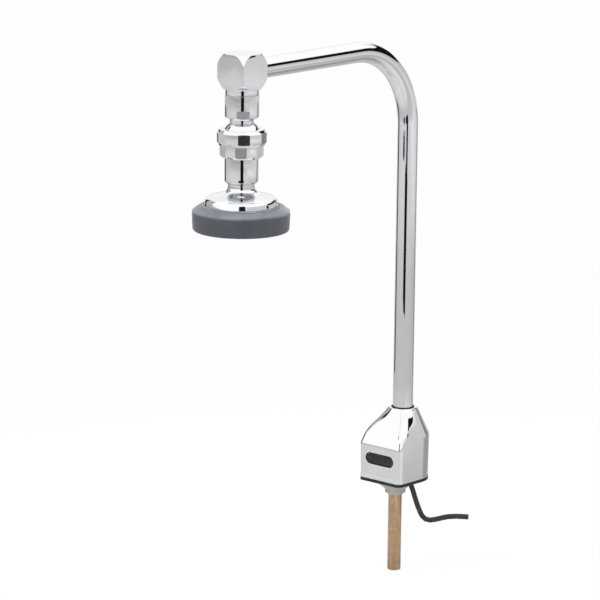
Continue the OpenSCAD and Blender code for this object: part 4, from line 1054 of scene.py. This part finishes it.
# %% Plastics
moulded("hub_grey", (0.56, 0.56, 0.54), (0.47, 0.47, 0.45), 0.50, 900, 0.0003, 0.3)
moulded("ivory_plastic", (0.72, 0.69, 0.60), (0.66, 0.62, 0.52), 0.38, 2000, 0.0001)
moulded("coil_black", (0.030, 0.030, 0.036), (0.045, 0.045, 0.05), 0.40, 1200, 0.0002)
moulded("eye_plastic", (0.16, 0.13, 0.22), (0.20, 0.17, 0.27), 0.14, 2600, 0.00003, 0.05)
moulded("green_plastic", (0.11, 0.33, 0.17), (0.09, 0.28, 0.15), 0.34, 1800, 0.0001)

shader, place = new_finish("board_green")
weave = cloud(place, 1500, 2)
tracks = step(cloud(stretched(place, 260, 40, 30), 1, 0), 0.56, 0.58)
pads = 1 - step(node(place.tree, "ShaderNodeTexVoronoi", inputs={"Vector": place, "Scale": 280}), 0.18, 0.22)
varnish = tint(weave, (0.02, 0.16, 0.07), (0.035, 0.21, 0.10))
board = tint(pads * 0.9, tint(tracks * 0.6, varnish, (0.10, 0.34, 0.15)), (0.62, 0.60, 0.55))
wire(shader, board, 0.28 + 0.15 * weave, tracks * 0.5 + pads + weave * 0.2, 0.0001)

# %% [markdown]
# The window
# The lens is dark acrylic that lets only infrared through. It looks near black with a violet cast, carries a
# clear hard coat, and has hairline wipes that show where light grazes it.

# %% Window lens
shader, place = new_finish("lens_dark", coat_weight=0.25, coat_roughness=0.06)
shader.inputs["Specular IOR Level"].default_value = 0.3
wipes = cloud(stretched(place, 20, 900, 260), 1, 4, 0.7)
film = cloud(place, 90, 4, 0.6)
lens_colour = tint(step(film, 0.3, 0.7), (0.012, 0.011, 0.015), (0.022, 0.020, 0.025))
wire(shader, lens_colour, 0.12 + 0.16 * step(wipes, 0.5, 0.8) + 0.06 * film, wipes * 0.3, 0.00003)

# %% [markdown]
# Copper, brass, zinc and steel
# The supply tube is drawn copper: fine lines run along it, it has gone brown in patches, and flux has
# stained its foot. The ferrule is turned brass, with rings cut round it. The castings have a sandy skin,
# and the springs, screws and yoke are bright drawn or rolled steel.

# %% Copper tube
shader, place = new_finish("copper", metallic=1.0)
drawn = cloud(stretched(place, 900, 900, 14), 1, 4, 0.65)
wide_drawn = cloud(stretched(place, 260, 260, 6), 1, 3, 0.6)
tarnish = cloud(stretched(place, 1, 1, 0.45), 130, 5, 0.62)
stain = step(cloud(place, 300, 5, 0.7), 0.5, 0.72)
z = height_of(place)
foot = 1 - step(z, FLOOR_Z + 0.002, FLOOR_Z + 0.022)
copper_colour = tint(step(wide_drawn, 0.32, 0.68), (0.50, 0.33, 0.20), (0.68, 0.46, 0.28))
copper_colour = tint(step(tarnish, 0.45, 0.75) * 0.75, copper_colour, (0.33, 0.24, 0.19))
copper_colour = tint(stain * (0.15 + 0.6 * foot), copper_colour, (0.46, 0.42, 0.38))
wire(shader, copper_colour, 0.26 + 0.16 * step(tarnish, 0.4, 0.8) + 0.12 * stain,
     drawn + wide_drawn * 0.8, 0.00012)


# %% Other metals
def worked_metal(slot_name, bright, dull, roughness, lines, depth):
    shader, place = new_finish(slot_name, metallic=1.0)
    marks = cloud(stretched(place, *lines), 1, 4, 0.6)
    film = cloud(place, 110, 4, 0.6)
    pits = step(cloud(place, 1300, 3), 0.62, 0.75)
    colour = tint(pits * 0.5, tint(step(film, 0.35, 0.7), bright, dull), tuple(0.6 * c for c in dull))
    wire(shader, colour, roughness + 0.14 * film + 0.05 * marks, marks - pits * 0.5, depth)


worked_metal("brass", (0.76, 0.58, 0.28), (0.58, 0.43, 0.22), 0.24, (30, 30, 2400), 0.00008)
worked_metal("zinc", (0.50, 0.51, 0.52), (0.40, 0.41, 0.43), 0.42, (700, 700, 700), 0.0003)
worked_metal("steel", (0.62, 0.63, 0.65), (0.52, 0.53, 0.55), 0.22, (1500, 1500, 60), 0.00006)

for name, piece in frame["nodes"].items():
    piece.data.materials.clear()
    piece.data.materials.append(finishes[slot_of[name]])
for piece, slot_name in dressed:
    piece.data.materials.clear()
    piece.data.materials.append(finishes[slot_name])
print("finishes", sorted(finishes))

# %% Finish
bpy.context.view_layer.update()
